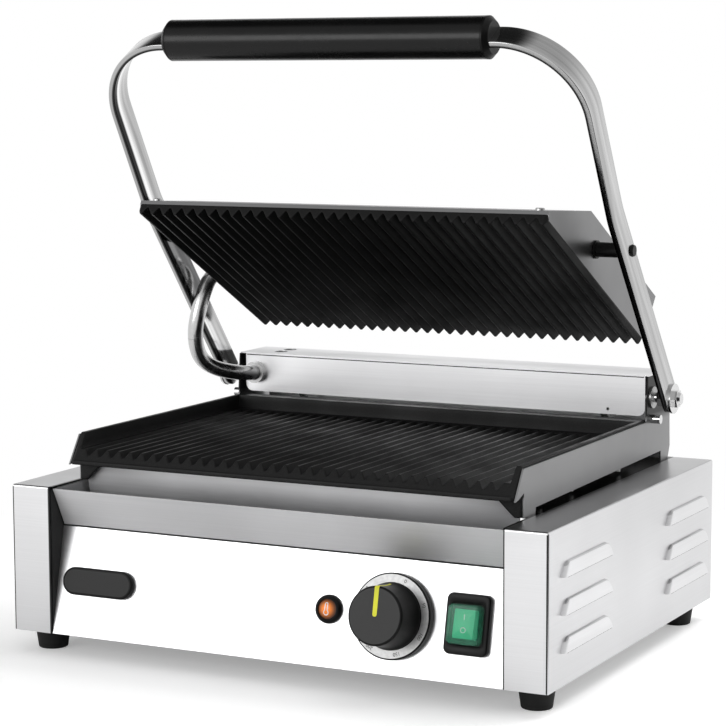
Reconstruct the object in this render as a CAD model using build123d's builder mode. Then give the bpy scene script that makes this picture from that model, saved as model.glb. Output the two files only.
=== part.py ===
"""Panini press: a wide contact grill.

A folded steel casing carries a ribbed cast-iron plate.  A second ribbed plate hangs on two pivots in a
bent flat-bar handle frame, which turns on a shaft behind the lower plate.  Sizes are millimetres.
The press faces -Y, +Z is up, and the origin is on the bench under the middle of the press.
"Back" is a distance behind the casing's front, "up" is a height above the bench.
"""
import os
from math import atan2, cos, degrees, hypot, radians, sin, tan

from build123d import *

os.makedirs("parts", exist_ok=True)

# ---- casing -------------------------------------------------------------------------------------
front_y = -159.9          # the casing's front in the press's own frame
casing_depth = 330.6
casing_top = 125.9        # height of the deck above the bench
foot_height = 16.0
sheet = 1.2               # casing, panel and cradle sheet
bend_radius = 1.6         # outside radius of the folded corners
deck_flange = 34.5        # deck beside each cradle side
post_width = 32.8         # face of each front post
return_depth = 11.0       # inner return behind each post
deck_front_back = 46.0    # the deck starts here, behind the tray opening
slip = 0.3                # gap between folded sheets that slide past each other
joint_gap = 0.4           # gap between pieces that move against each other

# ---- louvres, three rows of two on each side --------------------------------------------------
louvre_length = 86.0
louvre_top_length = 71.0
louvre_height = 9.8
louvre_depth = 3.6
louvre_brow = 2.9         # how far the hood still stands out where its brow turns in
louvre_brow_height = 7.4
louvre_wall = 0.8
louvre_corner = 3.5
louvre_rows = (39.7, 65.7, 91.7)
louvre_columns = (66.5, 270.5)

# ---- front control panel ------------------------------------------------------------------------
panel_tilt = 12.2         # degrees from upright
panel_foot_back = 0.9
panel_slant = 80.8
panel_gap = 0.6           # between the panel's edge and the post
panel_flange = 22.0
controls_height = 40.5    # all controls sit on one line, measured up the panel

# ---- drip tray and the apron above it -----------------------------------------------------------
tray_gap = 1.5            # between the tray's ends and the posts
tray_front_back = 3.0
tray_top = 124.4
tray_shoulder_back = 42.0
tray_rear_back = 107.0
tray_rear_top = 106.5
tray_sheet = 1.0
tray_lip_back = 17.5
apron_inset = 3.4         # the apron stops this far inside the plate's ends
apron_back = 41.7         # middle of its upright part
apron_sheet = 1.0

# ---- lower plate and its cradle -------------------------------------------------------------------
rib_pitch = 10.0
rib_valley = 0.9          # radius at the bottom of the grooves
plate_bottom = 139.5
plate_front_back = 23.5
plate_half_width = 179.0
plate_rim = 162.0
plate_rim_front_back = 38.7
plate_rear_back = 280.0
plate_wall = 4.2
plate_draft = 4.0         # degrees, on the inner faces of the walls
rib_top = 151.0
lower_groove_depth = 6.0
lower_groove_width = 8.5
plate_field_rear_back = 266.0
plate_lip_height = 3.6    # bead along the bottom of the plate's front
plate_lip_depth = 1.1
lug_front_back = 36.9     # cast lug under each front corner of the plate
lug_thickness = 3.6
lug_width = 19.5
lug_foot = 5.4
leg_front_back = 38.9
leg_rear_back = 58.6
cradle_outer = plate_half_width + slip + sheet
cradle_top = 160.4

# ---- lid ------------------------------------------------------------------------------------------
hinge_back = 287.4
hinge_up = 178.5
hinge_radius = 4.0
pivot_back = 197.5
pivot_up = 298.2
pivot_radius = 3.0
lid_tilt = 28.4           # slope of the upper plate as it hangs in the open lid, degrees
lid_length = 218.0
lid_inset = 12.0          # how much less the upper plate reaches out than the lower one
lid_corner = 3.0          # rounded upright corners of the upper casting
pivot_along = 93.5        # pivot, measured along the upper plate from its front edge
pivot_above = 24.0        # and above its rib tips
upper_groove_depth = 6.1
upper_groove_width = 8.4
lid_band = 4.8            # height of the cast band below the cover's sides
lid_edge = 8.4            # height of the cast edge below the cover's front lip
lid_cast = 11.5           # full thickness of the casting
cover_sheet = 1.2
running_gap = 0.05        # radial clearance of a shaft in its hole

# ---- handle frame -----------------------------------------------------------------------------------
bar_width = 22.0
bar_thickness = 5.0
arm_gap = 11.5            # between the cradle and each arm
arm_kink_back = 168.5
arm_kink_up = 325.7
grip_back = 95.6
grip_up = 451.5
frame_bend = 60.0         # centre-line radius of the two top bends
grip_radius = 15.25
grip_bend_gap = 2.3       # between the grip's ends and the bends
grip_cap_length = 5.0

# ---- rear box ----------------------------------------------------------------------------------------
shaft_gap = 1.0           # between the hinge shaft and the inside of the box's front sheet's face
box_front_back = hinge_back - hinge_radius - shaft_gap
box_rear_back = 322.0
box_top = 195.4
box_bottom = 164.0
box_sheet = 0.8
box_inset = 4.0           # the box's body stops this far inside the cradle's outer faces
box_corner = 6.0
box_lid_overhang = 2.0
bracket_front_back = 275.5
bracket_rear_back = 327.0

# ---- balance springs and conduit -----------------------------------------------------------------------
crank_x = 140.0
crank_reach = 22.0
crank_drop = 40.0         # degrees below level, with the lid open
crank_width = 4.0
crank_pin = 2.0
spring_radius = 6.5
spring_bore = 4.5
spring_foot = 52.0
crank_back = hinge_back + crank_reach * cos(radians(crank_drop))
crank_up = hinge_up - crank_reach * sin(radians(crank_drop))
conduit_radius = 6.2
conduit_x = -166.0
conduit_up = 180.0
spring_x = crank_x - 5.5

# ---- control fittings --------------------------------------------------------------------------------
badge_x = -145.0
badge_length = 60.0
badge_height = 20.5
badge_thickness = 4.5
lamp_x = 46.0
dial_x = 96.3
dial_radius = 30.1
dial_thickness = 6.0
knob_top = 31.0
switch_x = 153.25
switch_width = 32.5
switch_height = 42.0


# ---- widths that follow from the ones above ---------------------------------------------------------
casing_half = cradle_outer + deck_flange
casing_width = 2 * casing_half
post_inner = casing_half - post_width
tray_half_width = post_inner - tray_gap
apron_half_width = plate_half_width - apron_inset
lid_half_width = plate_half_width - lid_inset
cover_half_width = lid_half_width + cover_sheet
box_half_width = cradle_outer - box_inset
box_lid_half_width = cradle_outer
arm_inner = cradle_outer + arm_gap
grip_half_length = arm_inner + bar_thickness / 2 - frame_bend - grip_bend_gap


def side_plane(x):
    """Upright plane at x: sketch x runs back from the casing's front, sketch y runs up, +X is out."""
    return Plane(origin=(x, front_y, 0), x_dir=(0, 1, 0), z_dir=(1, 0, 0))


def level_plane(up):
    """Level plane: sketch x runs to the right, sketch y runs back from the casing's front."""
    return Plane(origin=(0, front_y, up), x_dir=(1, 0, 0), z_dir=(0, 0, 1))


def cross_plane(back):
    """Upright plane that faces the front: sketch x runs to the right, sketch y runs up."""
    return Plane(origin=(0, front_y + back, 0), x_dir=(1, 0, 0), z_dir=(0, -1, 0))


def panel_plane(out):
    """Plane along the slanted panel: sketch x to the right, sketch y up the panel, out from its face."""
    lean = radians(panel_tilt)
    origin = (0, front_y + panel_foot_back - out * cos(lean), foot_height + out * sin(lean))
    return Plane(origin=origin, x_dir=(1, 0, 0), z_dir=(0, -cos(lean), sin(lean)))


def panel_turning_plane(x):
    """Plane for turned control fittings: sketch x is the radius, sketch y the height off the panel."""
    face = panel_plane(0)
    origin = face.origin + face.y_dir * controls_height + face.x_dir * x
    return Plane(origin=origin, x_dir=(1, 0, 0), z_dir=face.y_dir * -1)


def lid_point(along, above):
    """Back and up of a point given along the upper plate and above its rib tips."""
    slope = radians(lid_tilt)
    along, above = along - pivot_along, above - pivot_above
    back = pivot_back + along * cos(slope) + above * sin(slope)
    up = pivot_up - along * sin(slope) + above * cos(slope)
    return back, up


def lid_side_plane(x):
    """Upright plane at x in the lid: sketch x runs along the plate, sketch y away from its rib tips."""
    slope = radians(lid_tilt)
    back, up = lid_point(0, 0)
    return Plane(origin=(x, front_y + back, up), x_dir=(0, cos(slope), -sin(slope)), z_dir=(1, 0, 0))


def lid_level_plane(above):
    """Plane parallel to the upper plate: sketch x to the right, sketch y along the plate."""
    slope = radians(lid_tilt)
    back, up = lid_point(0, above)
    return Plane(origin=(0, front_y + back, up), x_dir=(1, 0, 0), z_dir=(0, sin(slope), cos(slope)))


def lid_front_plane(along):
    """Plane across the upper plate: sketch x to the right, sketch y away from the rib tips."""
    slope = radians(lid_tilt)
    back, up = lid_point(along, 0)
    return Plane(origin=(0, front_y + back, up), x_dir=(1, 0, 0), z_dir=(0, -cos(slope), sin(slope)))


def turn(plane):
    """The axis of a turned piece: the plane's own sketch y."""
    return Axis(origin=plane.origin, direction=plane.y_dir)


def write_pair(right, name):
    """Writes a piece of the right-hand side and its mirror image for the left."""
    right.label = f"{name}_right"
    export_step(right, f"parts/{name}_right.step")
    left = mirror(right, about=Plane.YZ)
    left.label = f"{name}_left"
    export_step(left, f"parts/{name}_left.step")


# =================================================================================================
# Casing
# =================================================================================================
casing_height = casing_top - foot_height

# One pressed louvre, at the origin of a right-hand wall: a hood that turns in at its brow.
with BuildPart() as louvre_hood:
    with BuildSketch(Plane.XZ.offset(-louvre_length / 2)):
        Polygon(
            (-sheet, 0),
            (louvre_depth, 0),
            (louvre_brow, louvre_brow_height),
            (0.2, louvre_height),
            (-sheet, louvre_height),
            align=None,
        )
    extrude(amount=louvre_length)
    with BuildSketch(Plane.YZ.offset(-sheet)) as hood_outline:
        Polygon(
            (-louvre_length / 2, 0),
            (louvre_length / 2, 0),
            (louvre_top_length / 2, louvre_height),
            (-louvre_top_length / 2, louvre_height),
            align=None,
        )
        fillet(hood_outline.vertices().group_by(Axis.Y)[-1], louvre_corner)
    extrude(amount=sheet + louvre_depth, mode=Mode.INTERSECT)

# What a louvre leaves open: the slot through the wall and the hollow of the hood.
with BuildPart() as louvre_hollow:
    hollow_height = louvre_height - louvre_wall
    with BuildSketch(Plane.XZ.offset(-louvre_length / 2)):
        Polygon(
            (-sheet, 0),
            (louvre_depth - louvre_wall, 0),
            (louvre_brow - louvre_wall, louvre_brow_height - louvre_wall / 2),
            (0.2 - louvre_wall / 2, hollow_height),
            (-sheet, hollow_height),
            align=None,
        )
    extrude(amount=louvre_length)
    with BuildSketch(Plane.YZ.offset(-sheet)) as hollow_outline:
        Polygon(
            (-louvre_length / 2 + 2 * louvre_wall, 0),
            (louvre_length / 2 - 2 * louvre_wall, 0),
            (louvre_top_length / 2 - louvre_wall, hollow_height),
            (-louvre_top_length / 2 + louvre_wall, hollow_height),
            align=None,
        )
        fillet(hollow_outline.vertices().group_by(Axis.Y)[-1], louvre_corner - louvre_wall)
    extrude(amount=sheet + louvre_depth, mode=Mode.INTERSECT)

right_louvres = [
    Location((casing_half, front_y + back, up)) for back in louvre_columns for up in louvre_rows
]
left_louvres = [
    Location((-casing_half, front_y + back, up), (0, 0, 180))
    for back in louvre_columns
    for up in louvre_rows
]

seam_width = 0.9
seam_depth = 0.7
seam_x = casing_half - bend_radius + seam_width / 2
with BuildPart() as casing_shell:
    with BuildSketch(level_plane(foot_height)):
        with Locations((0, casing_depth / 2)):
            Rectangle(casing_width, casing_depth)
    extrude(amount=casing_height)
    front_corners = casing_shell.edges().filter_by(Axis.Z).group_by(Axis.Y)[0]
    deck_edges = casing_shell.faces().sort_by(Axis.Z)[-1].edges().sort_by(Axis.Y)[:-1]
    fillet(front_corners + deck_edges, bend_radius)
    with BuildSketch(level_plane(foot_height)):
        with Locations((0, casing_depth / 2 + sheet)):
            Rectangle(casing_width - 2 * sheet, casing_depth)
    extrude(amount=casing_height - sheet, mode=Mode.SUBTRACT)
    with BuildSketch(cross_plane(0)):
        with Locations((0, foot_height + casing_height / 2)):
            Rectangle(2 * post_inner, casing_height)
    extrude(amount=-2 * sheet, mode=Mode.SUBTRACT)
    with BuildSketch(level_plane(casing_top)):
        with Locations((0, deck_front_back / 2)):
            Rectangle(2 * (tray_half_width + slip), deck_front_back)
    extrude(amount=-2 * sheet, mode=Mode.SUBTRACT)
    with BuildSketch(level_plane(casing_top)):
        with Locations((-spring_x, crank_back), (spring_x, crank_back)):
            RectangleRounded(2 * spring_radius + 5, 2 * spring_radius + 7, 3)
    extrude(amount=-2 * sheet, mode=Mode.SUBTRACT)
    for side in (-1, 1):
        with BuildSketch(level_plane(foot_height + sheet + slip)):
            with Locations((side * (post_inner + sheet / 2), return_depth / 2)):
                Rectangle(sheet, return_depth)
        extrude(amount=casing_height - 2 * sheet - slip)
    # seam where each post's face meets the side
    with BuildSketch(level_plane(foot_height)):
        with Locations((-seam_x, seam_depth / 2), (seam_x, seam_depth / 2)):
            Rectangle(seam_width, seam_depth)
    extrude(amount=casing_height - bend_radius, mode=Mode.SUBTRACT)
    with Locations(*right_louvres, *left_louvres):
        add(louvre_hood.part)
    with Locations(*right_louvres, *left_louvres):
        add(louvre_hollow.part, mode=Mode.SUBTRACT)
casing_shell.part.label = "casing_shell"
export_step(casing_shell.part, "parts/casing_shell.step")

# Base pan: closes the casing from below, with up-turned edges and rows of vent slots.
pan_half_width = casing_half - sheet - slip
pan_front_back = panel_foot_back + sheet + slip
pan_rear_back = casing_depth - sheet - slip
pan_flange = 12.0
foot_x = casing_half - 18.0
foot_front_back = 24.0
foot_rear_back = 302.0
foot_places = [(x, back) for x in (-foot_x, foot_x) for back in (foot_front_back, foot_rear_back)]
foot_screw_radius = 2.5
with BuildPart() as base_pan:
    with BuildSketch(level_plane(foot_height)):
        with Locations((0, (pan_front_back + pan_rear_back) / 2)):
            Rectangle(2 * pan_half_width, pan_rear_back - pan_front_back)
    extrude(amount=sheet)
    for side in (-1, 1):
        with BuildSketch(level_plane(foot_height)):
            flange_middle = (return_depth + pan_rear_back) / 2 + sheet
            with Locations((side * (pan_half_width - sheet / 2), flange_middle)):
                Rectangle(sheet, pan_rear_back - return_depth - 2 * sheet)
        extrude(amount=pan_flange)
    with BuildSketch(level_plane(foot_height)):
        with Locations((0, casing_depth * 0.62)):
            with GridLocations(52, 18, 5, 4):
                SlotOverall(38, 4.5)
        with Locations(*foot_places):
            Circle(foot_screw_radius + running_gap)
    extrude(amount=sheet, mode=Mode.SUBTRACT)
base_pan.part.label = "base_pan"
export_step(base_pan.part, "parts/base_pan.step")

# Rear panel: set between the casing's sides, with vent slots and the cable hole.
gland_x = -120.0
gland_up = 50.0
gland_hole = 8.0
rear_screw_radius = 1.8
rear_screw_x = casing_half - 15.0
rear_screw_places = [(x, up) for x in (-rear_screw_x, rear_screw_x) for up in (32, 112)] + [(0, 112)]
with BuildPart() as rear_panel:
    rear_bottom = foot_height + sheet
    rear_top = casing_top - sheet
    with BuildSketch(cross_plane(casing_depth)):
        with Locations((0, (rear_bottom + rear_top) / 2)):
            Rectangle(2 * pan_half_width, rear_top - rear_bottom)
        with Locations((gland_x, gland_up)):
            Circle(gland_hole + running_gap, mode=Mode.SUBTRACT)
        with Locations(*rear_screw_places):
            Circle(rear_screw_radius, mode=Mode.SUBTRACT)
        with Locations((70, 66)):
            with GridLocations(46, 12, 4, 5):
                SlotOverall(36, 4.5, mode=Mode.SUBTRACT)
    extrude(amount=sheet)
rear_panel.part.label = "rear_panel"
export_step(rear_panel.part, "parts/rear_panel.step")

with BuildPart() as rear_panel_screws:
    with BuildSketch(cross_plane(casing_depth)):
        with Locations(*rear_screw_places):
            Circle(2 * rear_screw_radius)
    extrude(amount=-1.6)
    fillet(rear_panel_screws.edges().group_by(Axis.Y)[-1], 0.9)
    with BuildSketch(cross_plane(casing_depth)):
        with Locations(*rear_screw_places):
            Circle(rear_screw_radius - running_gap)
    extrude(amount=7)
rear_panel_screws.part.label = "rear_panel_screws"
export_step(rear_panel_screws.part, "parts/rear_panel_screws.step")

# Cable gland: hexagon and dome outside, thread through the rear panel, lock nut inside, open bore.
gland_bore = 4.2
gland_length = 14.0
with BuildPart() as cable_gland:
    with BuildSketch(cross_plane(casing_depth)):
        with Locations((gland_x, gland_up)):
            RegularPolygon(11.5, 6)
    extrude(amount=-5)
    with BuildSketch(cross_plane(casing_depth + 5)):
        with Locations((gland_x, gland_up)):
            Circle(9.6)
    extrude(amount=-(gland_length - 5), taper=8)
    with BuildSketch(cross_plane(casing_depth)):
        with Locations((gland_x, gland_up)):
            Circle(gland_hole)
    extrude(amount=14)
    with BuildSketch(cross_plane(casing_depth - sheet)):
        with Locations((gland_x, gland_up)):
            RegularPolygon(11.5, 6)
    extrude(amount=4)
    with BuildSketch(cross_plane(casing_depth + gland_length)):
        with Locations((gland_x, gland_up)):
            Circle(gland_bore)
    extrude(amount=40, mode=Mode.SUBTRACT)
cable_gland.part.label = "cable_gland"
export_step(cable_gland.part, "parts/cable_gland.step")

# Feet: tapered rubber, counterbored from below for the screw that holds them.
foot_top_radius = 13.3
foot_bottom_radius = 10.9
foot_taper = degrees(atan2(foot_top_radius - foot_bottom_radius, foot_height))
screw_seat = 6.0
with BuildPart() as feet:
    with BuildSketch(level_plane(foot_height)):
        with Locations(*foot_places):
            Circle(foot_top_radius)
    extrude(amount=-foot_height, taper=foot_taper)
    fillet(feet.edges().group_by(Axis.Z)[0], 1.2)
    with BuildSketch(level_plane(0)):
        with Locations(*foot_places):
            Circle(5.5)
    extrude(amount=screw_seat, mode=Mode.SUBTRACT)
    with BuildSketch(level_plane(0)):
        with Locations(*foot_places):
            Circle(foot_screw_radius + running_gap)
    extrude(amount=foot_height, mode=Mode.SUBTRACT)
feet.part.label = "feet"
export_step(feet.part, "parts/feet.step")

with BuildPart() as foot_screws:
    with BuildSketch(level_plane(screw_seat)):
        with Locations(*foot_places):
            Circle(4.6)
    extrude(amount=-3)
    with BuildSketch(level_plane(screw_seat)):
        with Locations(*foot_places):
            Circle(foot_screw_radius)
    extrude(amount=foot_height + sheet + 7 - screw_seat)
    with BuildSketch(level_plane(foot_height + sheet)):
        with Locations(*foot_places):
            RegularPolygon(4.6, 6)
    extrude(amount=4)
foot_screws.part.label = "foot_screws"
export_step(foot_screws.part, "parts/foot_screws.step")

# =================================================================================================
# Control panel and its fittings
# =================================================================================================
panel_half_width = post_inner - panel_gap
panel_rise = panel_slant * cos(radians(panel_tilt))
panel_run = panel_slant * sin(radians(panel_tilt))
panel_top_back = panel_foot_back + panel_run
panel_top = foot_height + panel_rise
shaft_radius = 3.0
bush_radius = 5.0
lamp_hole = 6.5
switch_hole_width = 26.0
switch_hole_height = 36.0
panel_rear_back = panel_top_back + panel_flange

with BuildPart() as front_panel:
    with BuildSketch(side_plane(-panel_half_width)):
        Polygon(
            (panel_foot_back, foot_height),
            (panel_foot_back + sheet / cos(radians(panel_tilt)), foot_height),
            (panel_foot_back + sheet + slip, foot_height + sheet),
            (panel_rear_back, foot_height + sheet),
            (panel_rear_back, panel_top),
            (panel_top_back, panel_top),
            align=None,
        )
    extrude(amount=2 * panel_half_width)
    with BuildSketch(side_plane(-panel_half_width + sheet)):
        inner_foot = foot_height + 2 * sheet
        inner_top = panel_top - sheet
        wall = sheet / cos(radians(panel_tilt))
        lean = tan(radians(panel_tilt))
        Polygon(
            (panel_foot_back + wall + (inner_foot - foot_height) * lean, inner_foot),
            (panel_rear_back, inner_foot),
            (panel_rear_back, inner_top),
            (panel_foot_back + wall + (inner_top - foot_height) * lean, inner_top),
            align=None,
        )
    extrude(amount=2 * (panel_half_width - sheet), mode=Mode.SUBTRACT)
    with BuildSketch(panel_plane(0)):
        with Locations((dial_x, controls_height)):
            Circle(bush_radius + running_gap)
        with Locations((lamp_x, controls_height)):
            Circle(lamp_hole + running_gap)
        with Locations((switch_x, controls_height)):
            Rectangle(switch_hole_width + slip, switch_hole_height + slip)
    extrude(amount=-2 * sheet, mode=Mode.SUBTRACT)
front_panel.part.label = "front_panel"
export_step(front_panel.part, "parts/front_panel.step")

with BuildPart() as badge_plaque:
    with BuildSketch(panel_plane(0)):
        with Locations((badge_x, controls_height)):
            SlotOverall(badge_length, badge_height)
    extrude(amount=badge_thickness)
    fillet(badge_plaque.faces().sort_by(Axis.Y)[0].edges(), 1.4)
badge_plaque.part.label = "badge_plaque"
export_step(badge_plaque.part, "parts/badge_plaque.step")

# Pilot lamp: black bezel with a stem through the panel, and a domed lens set in it.
lamp_bezel_radius = 10.25
lens_radius = 7.0
lamp_axis = panel_turning_plane(lamp_x)
with BuildPart() as lamp_bezel:
    with BuildSketch(lamp_axis):
        with BuildLine():
            Polyline(
                (lens_radius, 1.0),
                (lens_radius, 4.4),
                (lens_radius + 1.2, 4.4),
                (lamp_bezel_radius, 2.2),
                (lamp_bezel_radius, 0),
                (lamp_hole, 0),
                (lamp_hole, -20),
                (lamp_hole - 1.2, -20),
                (lamp_hole - 1.2, 1.0),
                close=True,
            )
        make_face()
    revolve(axis=turn(lamp_axis))
lamp_bezel.part.label = "lamp_bezel"
export_step(lamp_bezel.part, "parts/lamp_bezel.step")

with BuildPart() as lamp_lens:
    with BuildSketch(panel_plane(1.0)):
        with Locations((lamp_x, controls_height)):
            Circle(lens_radius - slip)
    extrude(amount=5.2)
    fillet(lamp_lens.faces().sort_by(Axis.Y)[0].edges(), 2.2)
lamp_lens.part.label = "lamp_lens"
export_step(lamp_lens.part, "parts/lamp_lens.step")

# Thermostat dial: black base ring, silver scale ring let into it, tapered knob on a flatted shaft.
dial_axis = panel_turning_plane(dial_x)
scale_outer = 29.0
scale_inner = 23.5
scale_depth = 0.8
with BuildPart() as dial_ring:
    with BuildSketch(dial_axis):
        with BuildLine():
            Polyline(
                (bush_radius + 2.4, 0),
                (dial_radius - 0.8, 0),
                (dial_radius, 0.8),
                (dial_radius, dial_thickness - 0.8),
                (dial_radius - 0.8, dial_thickness),
                (scale_outer, dial_thickness),
                (scale_outer, dial_thickness - scale_depth),
                (scale_inner, dial_thickness - scale_depth),
                (scale_inner, 2.4),
                (bush_radius + 2.4, 2.4),
                close=True,
            )
        make_face()
    revolve(axis=turn(dial_axis))
dial_ring.part.label = "dial_ring"
export_step(dial_ring.part, "parts/dial_ring.step")

with BuildPart() as scale_ring:
    with BuildSketch(panel_plane(dial_thickness - scale_depth)):
        with Locations((dial_x, controls_height)):
            Circle(scale_outer)
            Circle(scale_inner, mode=Mode.SUBTRACT)
    extrude(amount=scale_depth - 0.1)
scale_ring.part.label = "scale_ring"
export_step(scale_ring.part, "parts/scale_ring.step")

knob_foot = dial_thickness + joint_gap
knob_radius = scale_inner - joint_gap
knob_face_radius = 20.3
with BuildPart() as control_knob:
    with BuildSketch(dial_axis):
        with BuildLine():
            Polyline(
                (shaft_radius, 4.0),
                (knob_radius - 3.0, 4.0),
                (knob_radius - 3.0, knob_foot),
                (knob_radius, knob_foot),
                (knob_radius, knob_foot + 2.0),
                (knob_face_radius + 0.6, knob_top - 1.8),
                (knob_face_radius - 1.4, knob_top),
                (0, knob_top),
                (0, knob_top - 9),
                (shaft_radius, knob_top - 9),
                close=True,
            )
        make_face()
    revolve(axis=turn(dial_axis))
    with BuildSketch(panel_plane(knob_top - 0.8)):
        with Locations((dial_x, controls_height + knob_face_radius / 2)):
            Rectangle(2.6, knob_face_radius + 3)
    extrude(amount=2, mode=Mode.SUBTRACT)
control_knob.part.label = "control_knob"
export_step(control_knob.part, "parts/control_knob.step")

with BuildPart() as knob_pointer:
    with BuildSketch(panel_plane(knob_top - 0.8)):
        with Locations((dial_x, controls_height + knob_face_radius / 2 - 0.8)):
            Rectangle(2.4, knob_face_radius - 1.6)
    extrude(amount=0.9)
knob_pointer.part.label = "knob_pointer"
export_step(knob_pointer.part, "parts/knob_pointer.step")

with BuildPart() as thermostat_shaft:
    with BuildSketch(panel_plane(-12)):
        with Locations((dial_x, controls_height)):
            Circle(shaft_radius - running_gap)
            with Locations((0, shaft_radius)):
                Rectangle(2 * shaft_radius, 2.0, mode=Mode.SUBTRACT)
    extrude(amount=12 + knob_top - 9 - slip)
thermostat_shaft.part.label = "thermostat_shaft"
export_step(thermostat_shaft.part, "parts/thermostat_shaft.step")

with BuildPart() as thermostat_body:
    with BuildSketch(panel_plane(-sheet - 30)):
        with Locations((dial_x, controls_height)):
            RectangleRounded(44, 44, 5)
    extrude(amount=30)
    with BuildSketch(panel_plane(-sheet)):
        with Locations((dial_x, controls_height)):
            Circle(bush_radius)
    extrude(amount=sheet + 1.8)
    with BuildSketch(panel_plane(0)):
        with Locations((dial_x, controls_height)):
            RegularPolygon(bush_radius + 2.0, 6)
    extrude(amount=1.8)
    with BuildSketch(panel_plane(-12.4)):
        with Locations((dial_x, controls_height)):
            Circle(shaft_radius)
    extrude(amount=20, mode=Mode.SUBTRACT)
thermostat_body.part.label = "thermostat_body"
export_step(thermostat_body.part, "parts/thermostat_body.step")

# Rocker switch: black bezel and body, a soft clear cover clipped over the rocker.
boot_width = 24.0
boot_height = 27.5
boot_top = 12.0
boot_wall = 0.9
rocker_width = 15.5
rocker_height = 20.0
rocker_axis_out = 3.5
rocker_press = 4.0        # degrees that each end goes in
rocker_rise = 6.2
bezel_side = 5.0
with BuildPart() as switch_bezel:
    with BuildSketch(panel_plane(0)):
        with Locations((switch_x, controls_height)):
            RectangleRounded(switch_width, switch_height, 4.5)
    extrude(amount=bezel_side)
    fillet(switch_bezel.faces().sort_by(Axis.Y)[0].edges(), 1.6)
    with BuildSketch(panel_plane(-18)):
        with Locations((switch_x, controls_height)):
            Rectangle(switch_hole_width, switch_hole_height)
    extrude(amount=18)
    with BuildSketch(panel_plane(-6)):
        with Locations((switch_x, controls_height)):
            Rectangle(boot_width - 2, boot_height - 2)
    extrude(amount=20, mode=Mode.SUBTRACT)
    with BuildSketch(panel_plane(bezel_side - 2)):
        with Locations((switch_x, controls_height)):
            Rectangle(boot_width + 2 * slip, boot_height + 2 * slip)
    extrude(amount=4, mode=Mode.SUBTRACT)
switch_bezel.part.label = "switch_bezel"
export_step(switch_bezel.part, "parts/switch_bezel.step")

with BuildPart() as switch_boot:
    with BuildSketch(panel_plane(bezel_side - 2)):
        with Locations((switch_x, controls_height)):
            RectangleRounded(boot_width, boot_height, 2.5)
    extrude(amount=boot_top - bezel_side + 2, taper=4)
    fillet(switch_boot.faces().sort_by(Axis.Y)[0].edges(), 1.6)
    with BuildSketch(panel_plane(bezel_side - 2)):
        with Locations((switch_x, controls_height)):
            RectangleRounded(boot_width - 2 * boot_wall, boot_height - 2 * boot_wall, 2.0)
    extrude(amount=boot_top - bezel_side + 2 - boot_wall, taper=4, mode=Mode.SUBTRACT)
switch_boot.part.label = "switch_boot"
export_step(switch_boot.part, "parts/switch_boot.step")

# The rocker stands with its upper end pressed in, and turns about a cross axis inside the bezel.
rocker_lean = panel_tilt + rocker_press
rocker_pivot = panel_plane(rocker_axis_out).origin + panel_plane(0).y_dir * controls_height
rocker_plane = Plane(
    origin=(switch_x, rocker_pivot.Y, rocker_pivot.Z),
    x_dir=(1, 0, 0),
    z_dir=(0, -cos(radians(rocker_lean)), sin(radians(rocker_lean))),
)
with BuildPart() as switch_rocker:
    with BuildSketch(rocker_plane.offset(-3)):
        Rectangle(rocker_width, rocker_height - 5)
    extrude(amount=3)
    with BuildSketch(rocker_plane):
        RectangleRounded(rocker_width, rocker_height, 1.2)
    extrude(amount=rocker_rise)
switch_rocker.part.label = "switch_rocker"
export_step(switch_rocker.part, "parts/switch_rocker.step")

with BuildPart() as terminal_block:
    with BuildSketch(level_plane(foot_height + sheet)):
        with Locations((gland_x, casing_depth - 70)):
            Rectangle(54, 22)
    extrude(amount=16)
    with BuildSketch(level_plane(foot_height + sheet + 16)):
        with Locations((gland_x, casing_depth - 70)):
            with GridLocations(10, 12, 5, 2):
                Circle(2.6)
    extrude(amount=-10, mode=Mode.SUBTRACT)
terminal_block.part.label = "terminal_block"
export_step(terminal_block.part, "parts/terminal_block.step")

# =================================================================================================
# Drip tray, its runners and the apron
# =================================================================================================
tray_bottom = panel_top + 2 * joint_gap
with BuildPart() as drip_tray:
    with BuildSketch(side_plane(-tray_half_width)):
        Polygon(
            (tray_front_back, tray_top),
            (tray_shoulder_back, tray_top),
            (tray_rear_back, tray_rear_top),
            (tray_rear_back, tray_bottom),
            (tray_lip_back, tray_bottom),
            align=None,
        )
    extrude(amount=2 * tray_half_width)
    tray_mouth = drip_tray.faces().filter_by(lambda f: f.normal_at().Z > 0.5)
    offset(amount=-tray_sheet, openings=tray_mouth)
drip_tray.part.label = "drip_tray"
export_step(drip_tray.part, "parts/drip_tray.step")

runner_top = tray_bottom - joint_gap
runner_front_back = panel_rear_back + 1.0
runner_rear_back = tray_rear_back + 20.0
wall_x = casing_half - sheet
ledge_x = tray_half_width - 10
with BuildPart() as tray_runners:
    for side in (-1, 1):
        with BuildSketch(cross_plane(runner_front_back)):
            Polygon(
                (side * wall_x, runner_top - 18),
                (side * wall_x, runner_top),
                (side * ledge_x, runner_top),
                (side * ledge_x, runner_top - sheet),
                (side * (wall_x - sheet), runner_top - sheet),
                (side * (wall_x - sheet), runner_top - 18),
                align=None,
            )
        extrude(amount=-(runner_rear_back - runner_front_back))
tray_runners.part.label = "tray_runners"
export_step(tray_runners.part, "parts/tray_runners.step")

# Apron: folded sheet under the lower plate's front edge, it leads drips back and down into the tray.
with BuildPart() as plate_apron:
    with BuildSketch(side_plane(-apron_half_width)):
        with BuildLine():
            FilletPolyline(
                (58, plate_bottom - apron_sheet / 2),
                (apron_back, plate_bottom - apron_sheet / 2),
                (apron_back + 1.9, 121.0),
                (66, 110.8),
                radius=(1.2, 5.0),
            )
        trace(line_width=apron_sheet)
    extrude(amount=2 * apron_half_width)
plate_apron.part.label = "plate_apron"
export_step(plate_apron.part, "parts/plate_apron.step")

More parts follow.
